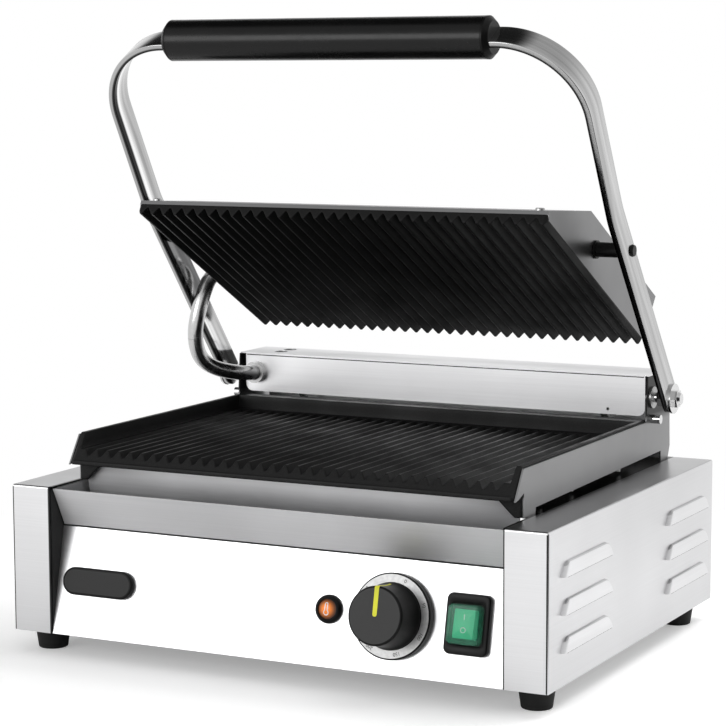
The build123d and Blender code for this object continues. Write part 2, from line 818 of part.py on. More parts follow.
# =================================================================================================
# Lower plate and cradle
# =================================================================================================
lower_groove_count = 2 * int((plate_half_width - 9) / rib_pitch)
field_half_width = plate_half_width - plate_wall - (plate_rim - rib_top) * tan(radians(plate_draft))
with BuildPart() as lower_grill_plate:
    with BuildSketch(side_plane(-plate_half_width)):
        Polygon(
            (plate_front_back + 0.7, plate_bottom),
            (plate_front_back, plate_bottom + 0.7),
            (plate_front_back, plate_bottom + plate_lip_height - 0.6),
            (plate_front_back + plate_lip_depth, plate_bottom + plate_lip_height),
            (plate_rim_front_back, plate_rim),
            (plate_rear_back, plate_rim),
            (plate_rear_back, plate_bottom),
            align=None,
        )
    extrude(amount=2 * plate_half_width)
    with BuildSketch(level_plane(rib_top)):
        with Locations((0, (plate_field_rear_back - 40) / 2)):
            Rectangle(2 * field_half_width, plate_field_rear_back + 40)
    extrude(amount=plate_rim - rib_top, taper=-plate_draft, mode=Mode.SUBTRACT)
    with BuildSketch(cross_plane(0)) as lower_grooves:
        with Locations((0, rib_top)):
            with GridLocations(rib_pitch, 0, lower_groove_count, 1):
                Polygon(
                    (-lower_groove_width / 2, 0),
                    (lower_groove_width / 2, 0),
                    (0, -lower_groove_depth),
                    align=None,
                )
        fillet(lower_grooves.vertices().group_by(Axis.Y)[0], rib_valley)
    extrude(amount=-(plate_field_rear_back - 4), mode=Mode.SUBTRACT)
    # lugs that stand over the deck's front corners
    with BuildSketch(cross_plane(lug_front_back)):
        for side in (-1, 1):
            Polygon(
                (side * plate_half_width, plate_bottom),
                (side * (plate_half_width - lug_width), plate_bottom),
                (side * (plate_half_width - lug_foot), casing_top + joint_gap),
                (side * plate_half_width, casing_top + joint_gap),
                align=None,
            )
    extrude(amount=-lug_thickness)
lower_grill_plate.part.label = "lower_grill_plate"
export_step(lower_grill_plate.part, "parts/lower_grill_plate.step")

# Cradle sides: folded sheet with legs on the deck, a ledge under the plate and the hinge bracket behind.
ledge_thickness = 2.0
ledge_width = 22.0
bush_outer = hinge_radius + 2.0
cradle_inner = cradle_outer - sheet
with BuildPart() as cradle_side_right:
    with BuildSketch(side_plane(cradle_inner)):
        Polygon(
            (plate_rim_front_back - 0.6, cradle_top),
            (plate_front_back + 0.6, plate_bottom - 0.2),
            (plate_front_back + 6.0, plate_bottom + 0.8),
            (leg_front_back - 4.4, plate_bottom + 2.5),
            (leg_front_back, plate_bottom + 4.1),
            (leg_front_back, casing_top),
            (leg_rear_back, casing_top),
            (leg_rear_back + 0.7, 130.5),
            (307.4, 134.0),
            (308.0, casing_top),
            (323.5, casing_top),
            (bracket_rear_back + 1, 135.5),
            (bracket_rear_back, 157.0),
            (bracket_rear_back, box_top),
            (bracket_front_back + 3, box_top),
            (bracket_front_back, cradle_top),
            align=None,
        )
        with Locations((hinge_back, hinge_up)):
            Circle(bush_outer, mode=Mode.SUBTRACT)
    extrude(amount=sheet)
    # ledge that the plate's edge rests on
    with BuildSketch(level_plane(plate_bottom - ledge_thickness)):
        with Locations((cradle_inner - ledge_width / 2, (62 + plate_rear_back) / 2)):
            Rectangle(ledge_width, plate_rear_back - 62)
    extrude(amount=ledge_thickness)
write_pair(cradle_side_right.part, "cradle_side")

# Studs and nuts that pull the plate down on the ledges.
stud_radius = 2.5
stud_x = plate_half_width - 7.0
stud_places = [(side * stud_x, back) for side in (-1, 1) for back in (84.0, 142.0, 236.0)]
with BuildPart() as cradle_studs:
    with BuildSketch(level_plane(plate_bottom - ledge_thickness)):
        with Locations(*stud_places):
            RegularPolygon(4.6, 6)
    extrude(amount=-4)
    with BuildSketch(level_plane(plate_bottom - ledge_thickness)):
        with Locations(*stud_places):
            Circle(stud_radius)
    extrude(amount=-9.5)
cradle_studs.part.label = "cradle_studs"
export_step(cradle_studs.part, "parts/cradle_studs.step")

# Lower element: a tube bent to a serpentine under the casting, held by two clamp bars.
element_radius = 3.5
element_up = plate_bottom - element_radius
with BuildPart() as lower_element:
    with BuildLine(level_plane(element_up)):
        element_path = FilletPolyline(
            (-150, 96),
            (-150, 78),
            (146, 78),
            (146, 122),
            (-120, 122),
            (-120, 166),
            (146, 166),
            (146, 210),
            (-150, 210),
            (-150, 190),
            radius=8.9,
        )
    with BuildSketch(Plane(origin=element_path @ 0, z_dir=element_path % 0)):
        Circle(element_radius)
    sweep()
lower_element.part.label = "lower_element"
export_step(lower_element.part, "parts/lower_element.step")

clamp_thickness = 2.0
with BuildPart() as lower_element_clamps:
    with BuildSketch(level_plane(element_up - element_radius)):
        with GridLocations(150, 1, 2, 1):
            with Locations((0, 144)):
                RectangleRounded(16, 150, 4)
    extrude(amount=-clamp_thickness)
lower_element_clamps.part.label = "lower_element_clamps"
export_step(lower_element_clamps.part, "parts/lower_element_clamps.step")

with BuildPart() as lower_heat_shield:
    with BuildSketch(level_plane(casing_top)):
        with Locations((0, 180)):
            Rectangle(300, 220)
            Rectangle(260, 180, mode=Mode.SUBTRACT)
    extrude(amount=3.0)
    with BuildSketch(level_plane(casing_top + 3.0)):
        with Locations((0, 180)):
            Rectangle(300, 220)
    extrude(amount=0.8)
lower_heat_shield.part.label = "lower_heat_shield"
export_step(lower_heat_shield.part, "parts/lower_heat_shield.step")

with BuildPart() as thermostat_bulb:
    with BuildSketch(cross_plane(132)):
        with Locations((0, plate_bottom - 3.2)):
            Circle(3.2)
    extrude(amount=-24)
thermostat_bulb.part.label = "thermostat_bulb"
export_step(thermostat_bulb.part, "parts/thermostat_bulb.step")

# =================================================================================================
# Rear box, hinge shaft and balance springs
# =================================================================================================
box_gap = 0.7
with BuildPart() as rear_box:
    with BuildSketch(side_plane(-box_half_width)):
        Polygon(
            (box_front_back, box_bottom),
            (box_front_back + box_sheet, box_bottom),
            (box_front_back + box_sheet, box_top),
            (box_rear_back - box_sheet, box_top),
            (box_rear_back - box_sheet, casing_top),
            (box_rear_back, casing_top),
            (box_rear_back, box_top + box_sheet),
            (box_front_back, box_top + box_sheet),
            align=None,
        )
    extrude(amount=2 * box_half_width)
    fillet(rear_box.edges().filter_by(Axis.Y).group_by(Axis.Z)[1], box_corner)
    with BuildSketch(level_plane(box_top)):
        with Locations((0, (box_front_back - box_lid_overhang + box_rear_back + 1) / 2)):
            Rectangle(2 * box_lid_half_width, box_rear_back + 1 - box_front_back + box_lid_overhang)
    extrude(amount=box_sheet)
    # shadow gap under the overhanging lid
    with BuildSketch(side_plane(-box_half_width)):
        with Locations((box_front_back, box_top - box_gap / 2)):
            Rectangle(box_sheet, box_gap)
    extrude(amount=2 * box_half_width, mode=Mode.SUBTRACT)
    with BuildSketch(level_plane(box_top)):
        with Locations((-151, 297), (-151, 312.5)):
            Circle(5.4)
    extrude(amount=2 * box_sheet, mode=Mode.SUBTRACT)
    with BuildSketch(cross_plane(box_front_back)):
        with Locations((conduit_x, conduit_up)):
            Circle(conduit_radius + 1.2)
        with Locations((146, box_bottom + 4)):
            Circle(1.2)
    extrude(amount=-2 * box_sheet, mode=Mode.SUBTRACT)
rear_box.part.label = "rear_box"
export_step(rear_box.part, "parts/rear_box.step")

bush_flange = 1.6
bush_tail = 1.4
with BuildPart() as hinge_bushings:
    for start in (cradle_inner - bush_tail, -cradle_outer):
        with BuildSketch(side_plane(start)):
            with Locations((hinge_back, hinge_up)):
                Circle(bush_outer)
        extrude(amount=sheet + bush_tail)
    for start in (cradle_outer, -cradle_outer - bush_flange):
        with BuildSketch(side_plane(start)):
            with Locations((hinge_back, hinge_up)):
                Circle(bush_outer + 2.4)
        extrude(amount=bush_flange)
    with BuildSketch(side_plane(-cradle_outer - bush_flange)):
        with Locations((hinge_back, hinge_up)):
            Circle(hinge_radius + running_gap)
    extrude(amount=2 * (cradle_outer + bush_flange), mode=Mode.SUBTRACT)
hinge_bushings.part.label = "hinge_bushings"
export_step(hinge_bushings.part, "parts/hinge_bushings.step")

washer_thickness = 1.8
washer_radius = 11.6
arm_outer = arm_inner + bar_thickness
shaft_end = arm_outer + washer_thickness + 3.2
with BuildPart() as hinge_shaft:
    with BuildSketch(side_plane(-shaft_end)):
        with Locations((hinge_back, hinge_up)):
            Circle(hinge_radius)
    extrude(amount=2 * shaft_end)
hinge_shaft.part.label = "hinge_shaft"
export_step(hinge_shaft.part, "parts/hinge_shaft.step")

nut_height = 6.0
nut_radius = hinge_radius + 3.0     # across its corners
with BuildPart() as hinge_inner_nuts:
    for start in (arm_inner - nut_height, -arm_inner):
        with BuildSketch(side_plane(start)):
            with Locations((hinge_back, hinge_up)):
                RegularPolygon(nut_radius, 6)
                Circle(hinge_radius, mode=Mode.SUBTRACT)
        extrude(amount=nut_height)
hinge_inner_nuts.part.label = "hinge_inner_nuts"
export_step(hinge_inner_nuts.part, "parts/hinge_inner_nuts.step")

with BuildPart() as hinge_washers:
    for start in (arm_outer, -arm_outer - washer_thickness):
        with BuildSketch(side_plane(start)):
            with Locations((hinge_back, hinge_up)):
                Circle(washer_radius)
                Circle(hinge_radius, mode=Mode.SUBTRACT)
        extrude(amount=washer_thickness)
hinge_washers.part.label = "hinge_washers"
export_step(hinge_washers.part, "parts/hinge_washers.step")

cap_start = arm_outer + washer_thickness
cap_hex = 3.4
with BuildPart() as hinge_cap_nuts:
    for side in (-1, 1):
        outward = Plane(
            origin=(side * cap_start, front_y + hinge_back, hinge_up), x_dir=(0, 1, 0), z_dir=(side, 0, 0)
        )
        with BuildSketch(outward):
            RegularPolygon(nut_radius + 0.2, 6)
        extrude(amount=cap_hex)
        with BuildSketch(outward.offset(cap_hex)):
            Circle(5.6)
        extrude(amount=2.0, taper=35)
        with BuildSketch(outward):
            Circle(hinge_radius)
        extrude(amount=cap_hex - 0.1, mode=Mode.SUBTRACT)
hinge_cap_nuts.part.label = "hinge_cap_nuts"
export_step(hinge_cap_nuts.part, "parts/hinge_cap_nuts.step")

stop_length = 8.0
with BuildPart() as stop_pins:
    for start in (cradle_outer, -cradle_outer - stop_length):
        with BuildSketch(side_plane(start)):
            with Locations((hinge_back - 2.0, hinge_up - 16.5)):
                Circle(3.5)
        extrude(amount=stop_length)
stop_pins.part.label = "stop_pins"
export_step(stop_pins.part, "parts/stop_pins.step")

# Cranks turn with the shaft and stretch the balance springs as the lid comes down.
with BuildPart() as spring_cranks:
    for start in (crank_x, -crank_x - crank_width):
        with BuildSketch(side_plane(start)):
            with BuildLine():
                Line((hinge_back, hinge_up), (crank_back, crank_up))
            trace(line_width=9)
            with Locations((crank_back, crank_up)):
                Circle(4.5)
            with Locations((hinge_back, hinge_up)):
                Circle(hinge_radius, mode=Mode.SUBTRACT)
        extrude(amount=crank_width)
    for start in (crank_x - 10, -crank_x):
        with BuildSketch(side_plane(start)):
            with Locations((crank_back, crank_up)):
                Circle(crank_pin)
        extrude(amount=10)
spring_cranks.part.label = "spring_cranks"
export_step(spring_cranks.part, "parts/spring_cranks.step")

with BuildPart() as balance_springs:
    for x in (-spring_x, spring_x):
        with BuildSketch(level_plane(spring_foot + 8)):
            with Locations((x, crank_back)):
                Circle(spring_radius)
                Circle(spring_bore, mode=Mode.SUBTRACT)
        extrude(amount=crank_up - 10 - spring_foot - 8)
        for low, high in ((spring_foot + 4, spring_foot + 8), (crank_up - 10, crank_up - 6)):
            with BuildSketch(level_plane(low)):
                with Locations((x, crank_back)):
                    Rectangle(2.0, 2 * spring_radius)
            extrude(amount=high - low)
        for up in (spring_foot, crank_up):
            with BuildSketch(side_plane(x - 1.0)):
                with Locations((crank_back, up)):
                    Circle(spring_radius)
                    Circle(crank_pin + slip, mode=Mode.SUBTRACT)
            extrude(amount=2.0)
balance_springs.part.label = "balance_springs"
export_step(balance_springs.part, "parts/balance_springs.step")

with BuildPart() as spring_anchors:
    for x in (-crank_x, crank_x - 14):
        with BuildSketch(side_plane(x)):
            with Locations((crank_back, spring_foot)):
                Circle(crank_pin)
        extrude(amount=14)
    for x in (-crank_x - sheet, crank_x):
        with BuildSketch(side_plane(x)):
            with Locations((crank_back, (spring_foot + foot_height + sheet) / 2 + 3)):
                Rectangle(18, spring_foot - foot_height - sheet + 6)
        extrude(amount=sheet)
spring_anchors.part.label = "spring_anchors"
export_step(spring_anchors.part, "parts/spring_anchors.step")

# =================================================================================================
# Handle frame
# =================================================================================================
arm_middle = arm_inner + bar_thickness / 2
upper_lean = atan2(arm_kink_back - grip_back, grip_up - arm_kink_up)
upper_length = hypot(arm_kink_back - grip_back, grip_up - arm_kink_up)
frame_plane = Plane(
    origin=(0, front_y + grip_back, grip_up),
    x_dir=(1, 0, 0),
    z_dir=(0, -cos(upper_lean), -sin(upper_lean)),
)
with BuildPart() as handle_frame:
    with BuildSketch(frame_plane):
        with BuildLine():
            FilletPolyline(
                (-arm_middle, -upper_length),
                (-arm_middle, 0),
                (arm_middle, 0),
                (arm_middle, -upper_length),
                radius=frame_bend,
            )
        trace(line_width=bar_thickness)
    extrude(amount=bar_width / 2, both=True)
    for start in (arm_inner, -arm_inner - bar_thickness):
        with BuildSketch(side_plane(start)):
            with BuildLine():
                Line((arm_kink_back, arm_kink_up), (hinge_back, hinge_up))
            trace(line_width=bar_width)
            with Locations((hinge_back, hinge_up), (arm_kink_back, arm_kink_up)):
                Circle(bar_width / 2)
            with Locations((hinge_back, hinge_up)):
                Circle(hinge_radius, mode=Mode.SUBTRACT)
            with Locations((pivot_back, pivot_up)):
                Circle(pivot_radius, mode=Mode.SUBTRACT)
        extrude(amount=bar_thickness)
handle_frame.part.label = "handle_frame"
export_step(handle_frame.part, "parts/handle_frame.step")

grip_core = grip_half_length - grip_cap_length
with BuildPart() as handle_grip:
    with BuildSketch(side_plane(-grip_core)):
        with Locations((grip_back, grip_up)):
            Circle(grip_radius)
            Rectangle(bar_width, bar_thickness, rotation=degrees(upper_lean), mode=Mode.SUBTRACT)
    extrude(amount=2 * grip_core)
handle_grip.part.label = "handle_grip"
export_step(handle_grip.part, "parts/handle_grip.step")

with BuildPart() as grip_cap_right:
    with BuildSketch(side_plane(grip_core)):
        with Locations((grip_back, grip_up)):
            Circle(grip_radius)
    extrude(amount=grip_cap_length)
    chamfer(grip_cap_right.edges().group_by(Axis.X)[-1], 3.4)
    with BuildSketch(side_plane(grip_core)):
        with Locations((grip_back, grip_up)):
            Rectangle(bar_width, bar_thickness, rotation=degrees(upper_lean))
    extrude(amount=grip_cap_length, mode=Mode.SUBTRACT)
write_pair(grip_cap_right.part, "grip_cap")

# Pivot bolts: through the arm, a black spacer and the bracket on the upper plate.
bracket_outer = cover_half_width - cover_sheet - 1.5
bracket_thickness = 5.0
bracket_inner = bracket_outer - bracket_thickness
spacer_start = cover_half_width + 1.8
bolt_inner = bracket_inner - joint_gap - 6.2
with BuildPart() as pivot_bolts:
    for side in (-1, 1):
        outward = Plane(
            origin=(side * bolt_inner, front_y + pivot_back, pivot_up), x_dir=(0, 1, 0), z_dir=(side, 0, 0)
        )
        with BuildSketch(outward):
            Circle(pivot_radius)
        extrude(amount=arm_outer - bolt_inner)
        with BuildSketch(outward.offset(arm_outer - bolt_inner)):
            Circle(4.65)
        extrude(amount=1.8, taper=20)
        with BuildSketch(outward.offset(1.2)):
            RegularPolygon(5.6, 6)
        extrude(amount=5)
pivot_bolts.part.label = "pivot_bolts"
export_step(pivot_bolts.part, "parts/pivot_bolts.step")

spacer_radius = 5.5
with BuildPart() as pivot_spacers:
    for start in (spacer_start, -arm_inner):
        with BuildSketch(side_plane(start)):
            with Locations((pivot_back, pivot_up)):
                Circle(spacer_radius)
                Circle(pivot_radius, mode=Mode.SUBTRACT)
        extrude(amount=arm_inner - spacer_start)
pivot_spacers.part.label = "pivot_spacers"
export_step(pivot_spacers.part, "parts/pivot_spacers.step")

with BuildPart() as pivot_washers:
    for start in (cover_half_width + joint_gap, -spacer_start):
        with BuildSketch(side_plane(start)):
            with Locations((pivot_back, pivot_up)):
                Circle(spacer_radius + 1.25)
                Circle(pivot_radius, mode=Mode.SUBTRACT)
        extrude(amount=spacer_start - cover_half_width - joint_gap)
pivot_washers.part.label = "pivot_washers"
export_step(pivot_washers.part, "parts/pivot_washers.step")

# =================================================================================================
# Upper plate
# =================================================================================================
upper_groove_count = 2 * int((lid_half_width + 3) / rib_pitch) + 1
with BuildPart() as upper_grill_plate:
    with BuildSketch(lid_level_plane(0)):
        with Locations((0, lid_length / 2)):
            RectangleRounded(2 * cover_half_width, lid_length, lid_corner)
    extrude(amount=lid_band)
    with BuildSketch(lid_level_plane(lid_band)):
        with Locations((0, lid_length / 2)):
            RectangleRounded(2 * lid_half_width, lid_length, lid_corner)
    extrude(amount=lid_edge - lid_band)
    with BuildSketch(lid_level_plane(lid_edge)):
        with Locations((0, lid_length / 2)):
            Rectangle(2 * (lid_half_width - 1.6), lid_length - 24)
    extrude(amount=lid_cast - lid_edge)
    with BuildSketch(lid_front_plane(0)) as upper_grooves:
        with GridLocations(rib_pitch, 0, upper_groove_count, 1):
            Polygon(
                (-upper_groove_width / 2, 0),
                (upper_groove_width / 2, 0),
                (0, upper_groove_depth),
                align=None,
            )
        fillet(upper_grooves.vertices().group_by(Axis.Y)[-1], rib_valley)
    extrude(amount=-lid_length, mode=Mode.SUBTRACT)
upper_grill_plate.part.label = "upper_grill_plate"
export_step(upper_grill_plate.part, "parts/upper_grill_plate.step")

cover_front = 1.0
cover_lip = 11.4
cover_slope_end = 72.0
cover_height = 45.0
cover_rear_top = 228.0
cover_rear = lid_length + 2.0
with BuildPart() as upper_cover:
    with BuildSketch(lid_side_plane(-cover_half_width)):
        Polygon(
            (cover_front, lid_edge),
            (cover_front, cover_lip),
            (cover_slope_end, cover_height),
            (cover_rear_top, cover_height),
            (cover_rear, lid_edge),
            align=None,
        )
    extrude(amount=2 * cover_half_width)
    slope = radians(lid_tilt)
    cover_mouth = upper_cover.faces().filter_by(
        lambda f: f.normal_at().dot(Vector(0, sin(slope), cos(slope))) < -0.9
    )
    offset(amount=-cover_sheet, openings=cover_mouth)
    # the sides reach down past the casting's shoulder, to its band
    for start in (-cover_half_width, lid_half_width):
        with BuildSketch(lid_side_plane(start)):
            Polygon(
                (lid_corner, lid_band),
                (cover_rear - 2.0, lid_band),
                (cover_rear, lid_edge),
                (cover_front, lid_edge),
                align=None,
            )
        extrude(amount=cover_sheet)
    with BuildSketch(side_plane(-cover_half_width - 1)):
        with Locations((pivot_back, pivot_up)):
            Circle(pivot_radius + 1.2)
    extrude(amount=2 * cover_half_width + 2, mode=Mode.SUBTRACT)
upper_cover.part.label = "upper_cover"
export_step(upper_cover.part, "parts/upper_cover.step")

bracket_foot = 18.0
with BuildPart() as pivot_brackets:
    for start in (bracket_inner, -bracket_outer):
        with BuildSketch(lid_side_plane(start)):
            with Locations((pivot_along, (lid_cast + pivot_above) / 2)):
                Rectangle(34, pivot_above - lid_cast)
            with Locations((pivot_along, pivot_above)):
                Circle(11)
                Circle(pivot_radius + running_gap, mode=Mode.SUBTRACT)
        extrude(amount=bracket_thickness)
    with BuildSketch(lid_level_plane(lid_cast)):
        foot_middle = bracket_inner - bracket_foot / 2
        with Locations((-foot_middle, pivot_along), (foot_middle, pivot_along)):
            Rectangle(bracket_foot, 34)
    extrude(amount=4)
pivot_brackets.part.label = "pivot_brackets"
export_step(pivot_brackets.part, "parts/pivot_brackets.step")

with BuildPart() as bracket_screws:
    with BuildSketch(lid_level_plane(lid_cast + 4)):
        for side in (-1, 1):
            screw_x = side * (bracket_inner - 11)
            with Locations((screw_x, pivot_along - 10), (screw_x, pivot_along + 10)):
                RegularPolygon(4.2, 6)
    extrude(amount=3.2)
bracket_screws.part.label = "bracket_screws"
export_step(bracket_screws.part, "parts/bracket_screws.step")

with BuildPart() as upper_element:
    with BuildLine(lid_level_plane(lid_cast + element_radius)):
        upper_path = FilletPolyline(
            (-128, 60),
            (-128, 40),
            (120, 40),
            (120, 86),
            (-104, 86),
            (-104, 132),
            (120, 132),
            (120, 178),
            (-128, 178),
            (-128, 158),
            radius=9.5,
        )
    with BuildSketch(Plane(origin=upper_path @ 0, z_dir=upper_path % 0)):
        Circle(element_radius)
    sweep()
upper_element.part.label = "upper_element"
export_step(upper_element.part, "parts/upper_element.step")

with BuildPart() as upper_element_clamps:
    with BuildSketch(lid_level_plane(lid_cast + 2 * element_radius)):
        with Locations((-75, 109), (75, 109)):
            RectangleRounded(16, 156, 4)
    extrude(amount=clamp_thickness)
upper_element_clamps.part.label = "upper_element_clamps"
export_step(upper_element_clamps.part, "parts/upper_element_clamps.step")

insulation_bottom = lid_cast + 2 * element_radius + clamp_thickness
with BuildPart() as upper_insulation:
    with BuildSketch(lid_level_plane(insulation_bottom)):
        with Locations((0, 132)):
            Rectangle(2 * (bracket_inner - 22), 150)
    extrude(amount=12)
upper_insulation.part.label = "upper_insulation"
export_step(upper_insulation.part, "parts/upper_insulation.step")

# Cover screws: two round heads on the front slope.
cover_slope = atan2(cover_height - cover_lip, cover_slope_end - cover_front)
with BuildPart() as upper_cover_screws:
    head_along = cover_front + 7 * cos(cover_slope)
    head_above = cover_lip + 7 * sin(cover_slope)
    back, up = lid_point(head_along, head_above)
    tilt = radians(lid_tilt)
    normal = (0, sin(tilt - cover_slope), cos(tilt - cover_slope))
    head_plane = Plane(origin=(0, front_y + back, up), x_dir=(1, 0, 0), z_dir=normal)
    with BuildSketch(head_plane):
        with Locations((-158, 0), (158, 0)):
            Circle(3.4)
    extrude(amount=2.0)
    fillet(upper_cover_screws.edges().group_by(Axis.Z)[-1], 0.9)
upper_cover_screws.part.label = "upper_cover_screws"
export_step(upper_cover_screws.part, "parts/upper_cover_screws.step")

# =================================================================================================
# Conduit: a smooth hose that carries the upper element's leads from the rear box into the cover
# =================================================================================================
fitting_length = 6.0
fitting_radius = conduit_radius + 2.6
cover_fitting_length = 1.8
entry_along = 142.0
entry_above = 15.6
entry_elbow_x = -181.0
entry_elbow_radius = 10.5
entry_back, entry_up = lid_point(entry_along, entry_above)
route = [
    Vector(conduit_x, front_y + box_front_back, conduit_up),
    Vector(conduit_x, front_y + 262.0, conduit_up),
    Vector(-186.0, front_y + 228.0, 190.0),
    Vector(-189.5, front_y + 219.5, 214.0),
    Vector(-183.5, front_y + 221.0, 243.0),
    Vector(entry_elbow_x, front_y + entry_back, entry_up),
    Vector(-cover_half_width - 0.1, front_y + entry_back, entry_up),
]
route_radii = []
for before, corner, after in zip(route, route[1:], route[2:]):
    turn_angle = radians((corner - before).get_angle(after - corner))
    shorter = min((corner - before).length, (after - corner).length)
    route_radii.append(0.45 * shorter / tan(turn_angle / 2))
route_radii[-1] = entry_elbow_radius
with BuildPart() as conduit:
    with BuildLine():
        conduit_path = FilletPolyline(*route, radius=route_radii)
    with BuildSketch(Plane(origin=conduit_path @ 0, z_dir=conduit_path % 0)):
        Circle(conduit_radius)
    sweep()
conduit.part.label = "conduit"
export_step(conduit.part, "parts/conduit.step")

with BuildPart() as conduit_box_fitting:
    with BuildSketch(cross_plane(box_front_back)):
        with Locations((conduit_x, conduit_up)):
            Circle(fitting_radius)
            Circle(conduit_radius + running_gap, mode=Mode.SUBTRACT)
    extrude(amount=fitting_length)
conduit_box_fitting.part.label = "conduit_box_fitting"
export_step(conduit_box_fitting.part, "parts/conduit_box_fitting.step")

with BuildPart() as conduit_cover_fitting:
    with BuildSketch(side_plane(-cover_half_width - cover_fitting_length)):
        with Locations((entry_back, entry_up)):
            Circle(fitting_radius - 0.2)
            Circle(conduit_radius + slip, mode=Mode.SUBTRACT)
    extrude(amount=cover_fitting_length)
conduit_cover_fitting.part.label = "conduit_cover_fitting"
export_step(conduit_cover_fitting.part, "parts/conduit_cover_fitting.step")
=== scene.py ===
"""Panini press: the visible finish of a wide contact grill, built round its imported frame.

The file follows the press as it is put together: the stand it is shown on, the folded casing, the
control panel, the drip tray, the lower casting in its cradle, the rear box, the handle and the lid.
The press faces -Y and +Z is up.  The stand and the materials are in metres; the pieces' own lengths
are millimetres, which become metres where a mesh is made.
"""

from math import cos, pi, radians, sin

import bpy
import numpy as np
from mathutils import Euler, Matrix, Vector


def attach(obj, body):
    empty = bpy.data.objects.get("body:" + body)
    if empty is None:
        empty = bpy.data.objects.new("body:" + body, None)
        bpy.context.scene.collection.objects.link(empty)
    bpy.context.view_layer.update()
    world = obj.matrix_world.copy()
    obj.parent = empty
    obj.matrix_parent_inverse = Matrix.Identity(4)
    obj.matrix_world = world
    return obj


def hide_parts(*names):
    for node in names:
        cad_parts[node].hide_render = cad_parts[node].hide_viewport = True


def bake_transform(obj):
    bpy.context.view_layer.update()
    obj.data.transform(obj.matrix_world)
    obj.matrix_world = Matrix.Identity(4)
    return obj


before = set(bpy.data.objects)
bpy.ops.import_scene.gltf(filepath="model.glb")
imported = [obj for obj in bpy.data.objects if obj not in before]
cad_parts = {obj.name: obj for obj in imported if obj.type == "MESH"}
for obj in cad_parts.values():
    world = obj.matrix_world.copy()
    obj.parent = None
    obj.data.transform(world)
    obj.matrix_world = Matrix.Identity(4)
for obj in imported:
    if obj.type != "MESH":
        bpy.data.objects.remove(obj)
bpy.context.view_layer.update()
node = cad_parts
scene = bpy.context.scene
scene.view_settings.view_transform = "Standard"

# ==========================================================
# The stand: a sheet of white paper on a table, in a bright room with soft panels of light.
# The press is seen from its right, a little from above, through a long lens.
view_turn = radians(27.127)      # the lens looks this far to the left of straight back
view_dip = radians(-7.005)       # and this far down
view_roll = radians(-0.2)
lens_place = Vector((0.8128, -1.5947, 0.4296))

camera_data = bpy.data.cameras.new("lens")
camera_data.lens = 118.43
camera_data.sensor_width = 36.0
camera = bpy.data.objects.new("lens", camera_data)
level_look = Euler((pi / 2 + view_dip, 0, view_turn)).to_matrix()
camera.matrix_world = Matrix.Translation(lens_place) @ (
    level_look @ Matrix.Rotation(view_roll, 3, "Z")
).to_4x4()
scene.collection.objects.link(camera)
scene.camera = camera


def put(tree, kind, out=0, **sockets):
    """Adds a node and fills its sockets, from values or other nodes' outputs.

    A socket is given by its name, with _ for a space, or as in0, in1 and so on by its number.  A name
    that starts with set_ is a setting of the node.  Returns the output numbered or named by out."""
    made = tree.nodes.new(kind)
    for name, value in sockets.items():
        if name.startswith("set_"):
            setattr(made, name[4:], value)
            continue
        numbered = name.startswith("in") and name[2:].isdigit()
        socket = made.inputs[int(name[2:]) if numbered else name.replace("_", " ")]
        if isinstance(value, bpy.types.NodeSocket):
            tree.links.new(value, socket)
        else:
            socket.default_value = value
    return made.outputs[out]


def reckon(tree, work, *values):
    """One step of arithmetic on one or two values: work is MULTIPLY, ADD and so on."""
    sockets = {f"in{i}": value for i, value in enumerate(values)}
    return put(tree, "ShaderNodeMath", set_operation=work, **sockets)


def noise(tree, place, scale, detail, **sockets):
    """Smooth noise over the place given."""
    return put(tree, "ShaderNodeTexNoise", Vector=place, Scale=scale, Detail=detail, **sockets)


def spread(tree, value, low, high, start=0.3, end=0.7, course="LINEAR"):
    """Turns a value's run from start to end into low to high, held level before and after."""
    return put(tree, "ShaderNodeMapRange", set_interpolation_type=course, Value=value,
               From_Min=start, From_Max=end, To_Min=low, To_Max=high)


def between(tree, share, a, b):
    """The mix of two plain values: a where share is 0, b where it is 1."""
    return put(tree, "ShaderNodeMix", set_data_type="FLOAT", in0=share, in2=a, in3=b)


def dark_toward(tree, way, card_way, edge, heart, tone):
    """One, easing to tone as the direction way nears card_way: edge and heart are its cosines there."""
    near = put(tree, "ShaderNodeVectorMath", out="Value", set_operation="DOT_PRODUCT", in0=way, in1=card_way)
    return spread(tree, near, 1.0, tone, edge, heart, course="SMOOTHSTEP")


def finish(name, **sockets):
    """A new material with one Principled shader; constant sockets are set on the shader itself."""
    material = bpy.data.materials.new(name)
    material.use_nodes = True
    tree = material.node_tree
    tree.nodes.clear()
    shader = tree.nodes.new("ShaderNodeBsdfPrincipled")
    shader.name = "finish"
    output = tree.nodes.new("ShaderNodeOutputMaterial")
    output.name = "Material Output"
    tree.links.new(shader.outputs[0], output.inputs[0])
    for socket, value in sockets.items():
        shader.inputs[socket.replace("_", " ")].default_value = value
    return material


def feed(material, **sockets):
    """Joins node outputs to the named sockets of a material's shader."""
    shader = material.node_tree.nodes["finish"]
    for name, output in sockets.items():
        material.node_tree.links.new(output, shader.inputs[name.replace("_", " ")])


def begin(name, **sockets):
    """A new material, with its node tree and the place on the piece, which its noises read."""
    material = finish(name, **sockets)
    return material, material.node_tree, put(material.node_tree, "ShaderNodeTexCoord", out="Object")


def wear(material, tone, sheen, height, strength, depth):
    """Gives a material its tone, its roughness and a bump that follows height; returns the material."""
    relief = put(material.node_tree, "ShaderNodeBump", Height=height, Strength=strength, Distance=depth)
    feed(material, Base_Color=tone, Roughness=sheen, Normal=relief)
    return material


def grey(value):
    """A grey colour."""
    return (value, value, value, 1.0)


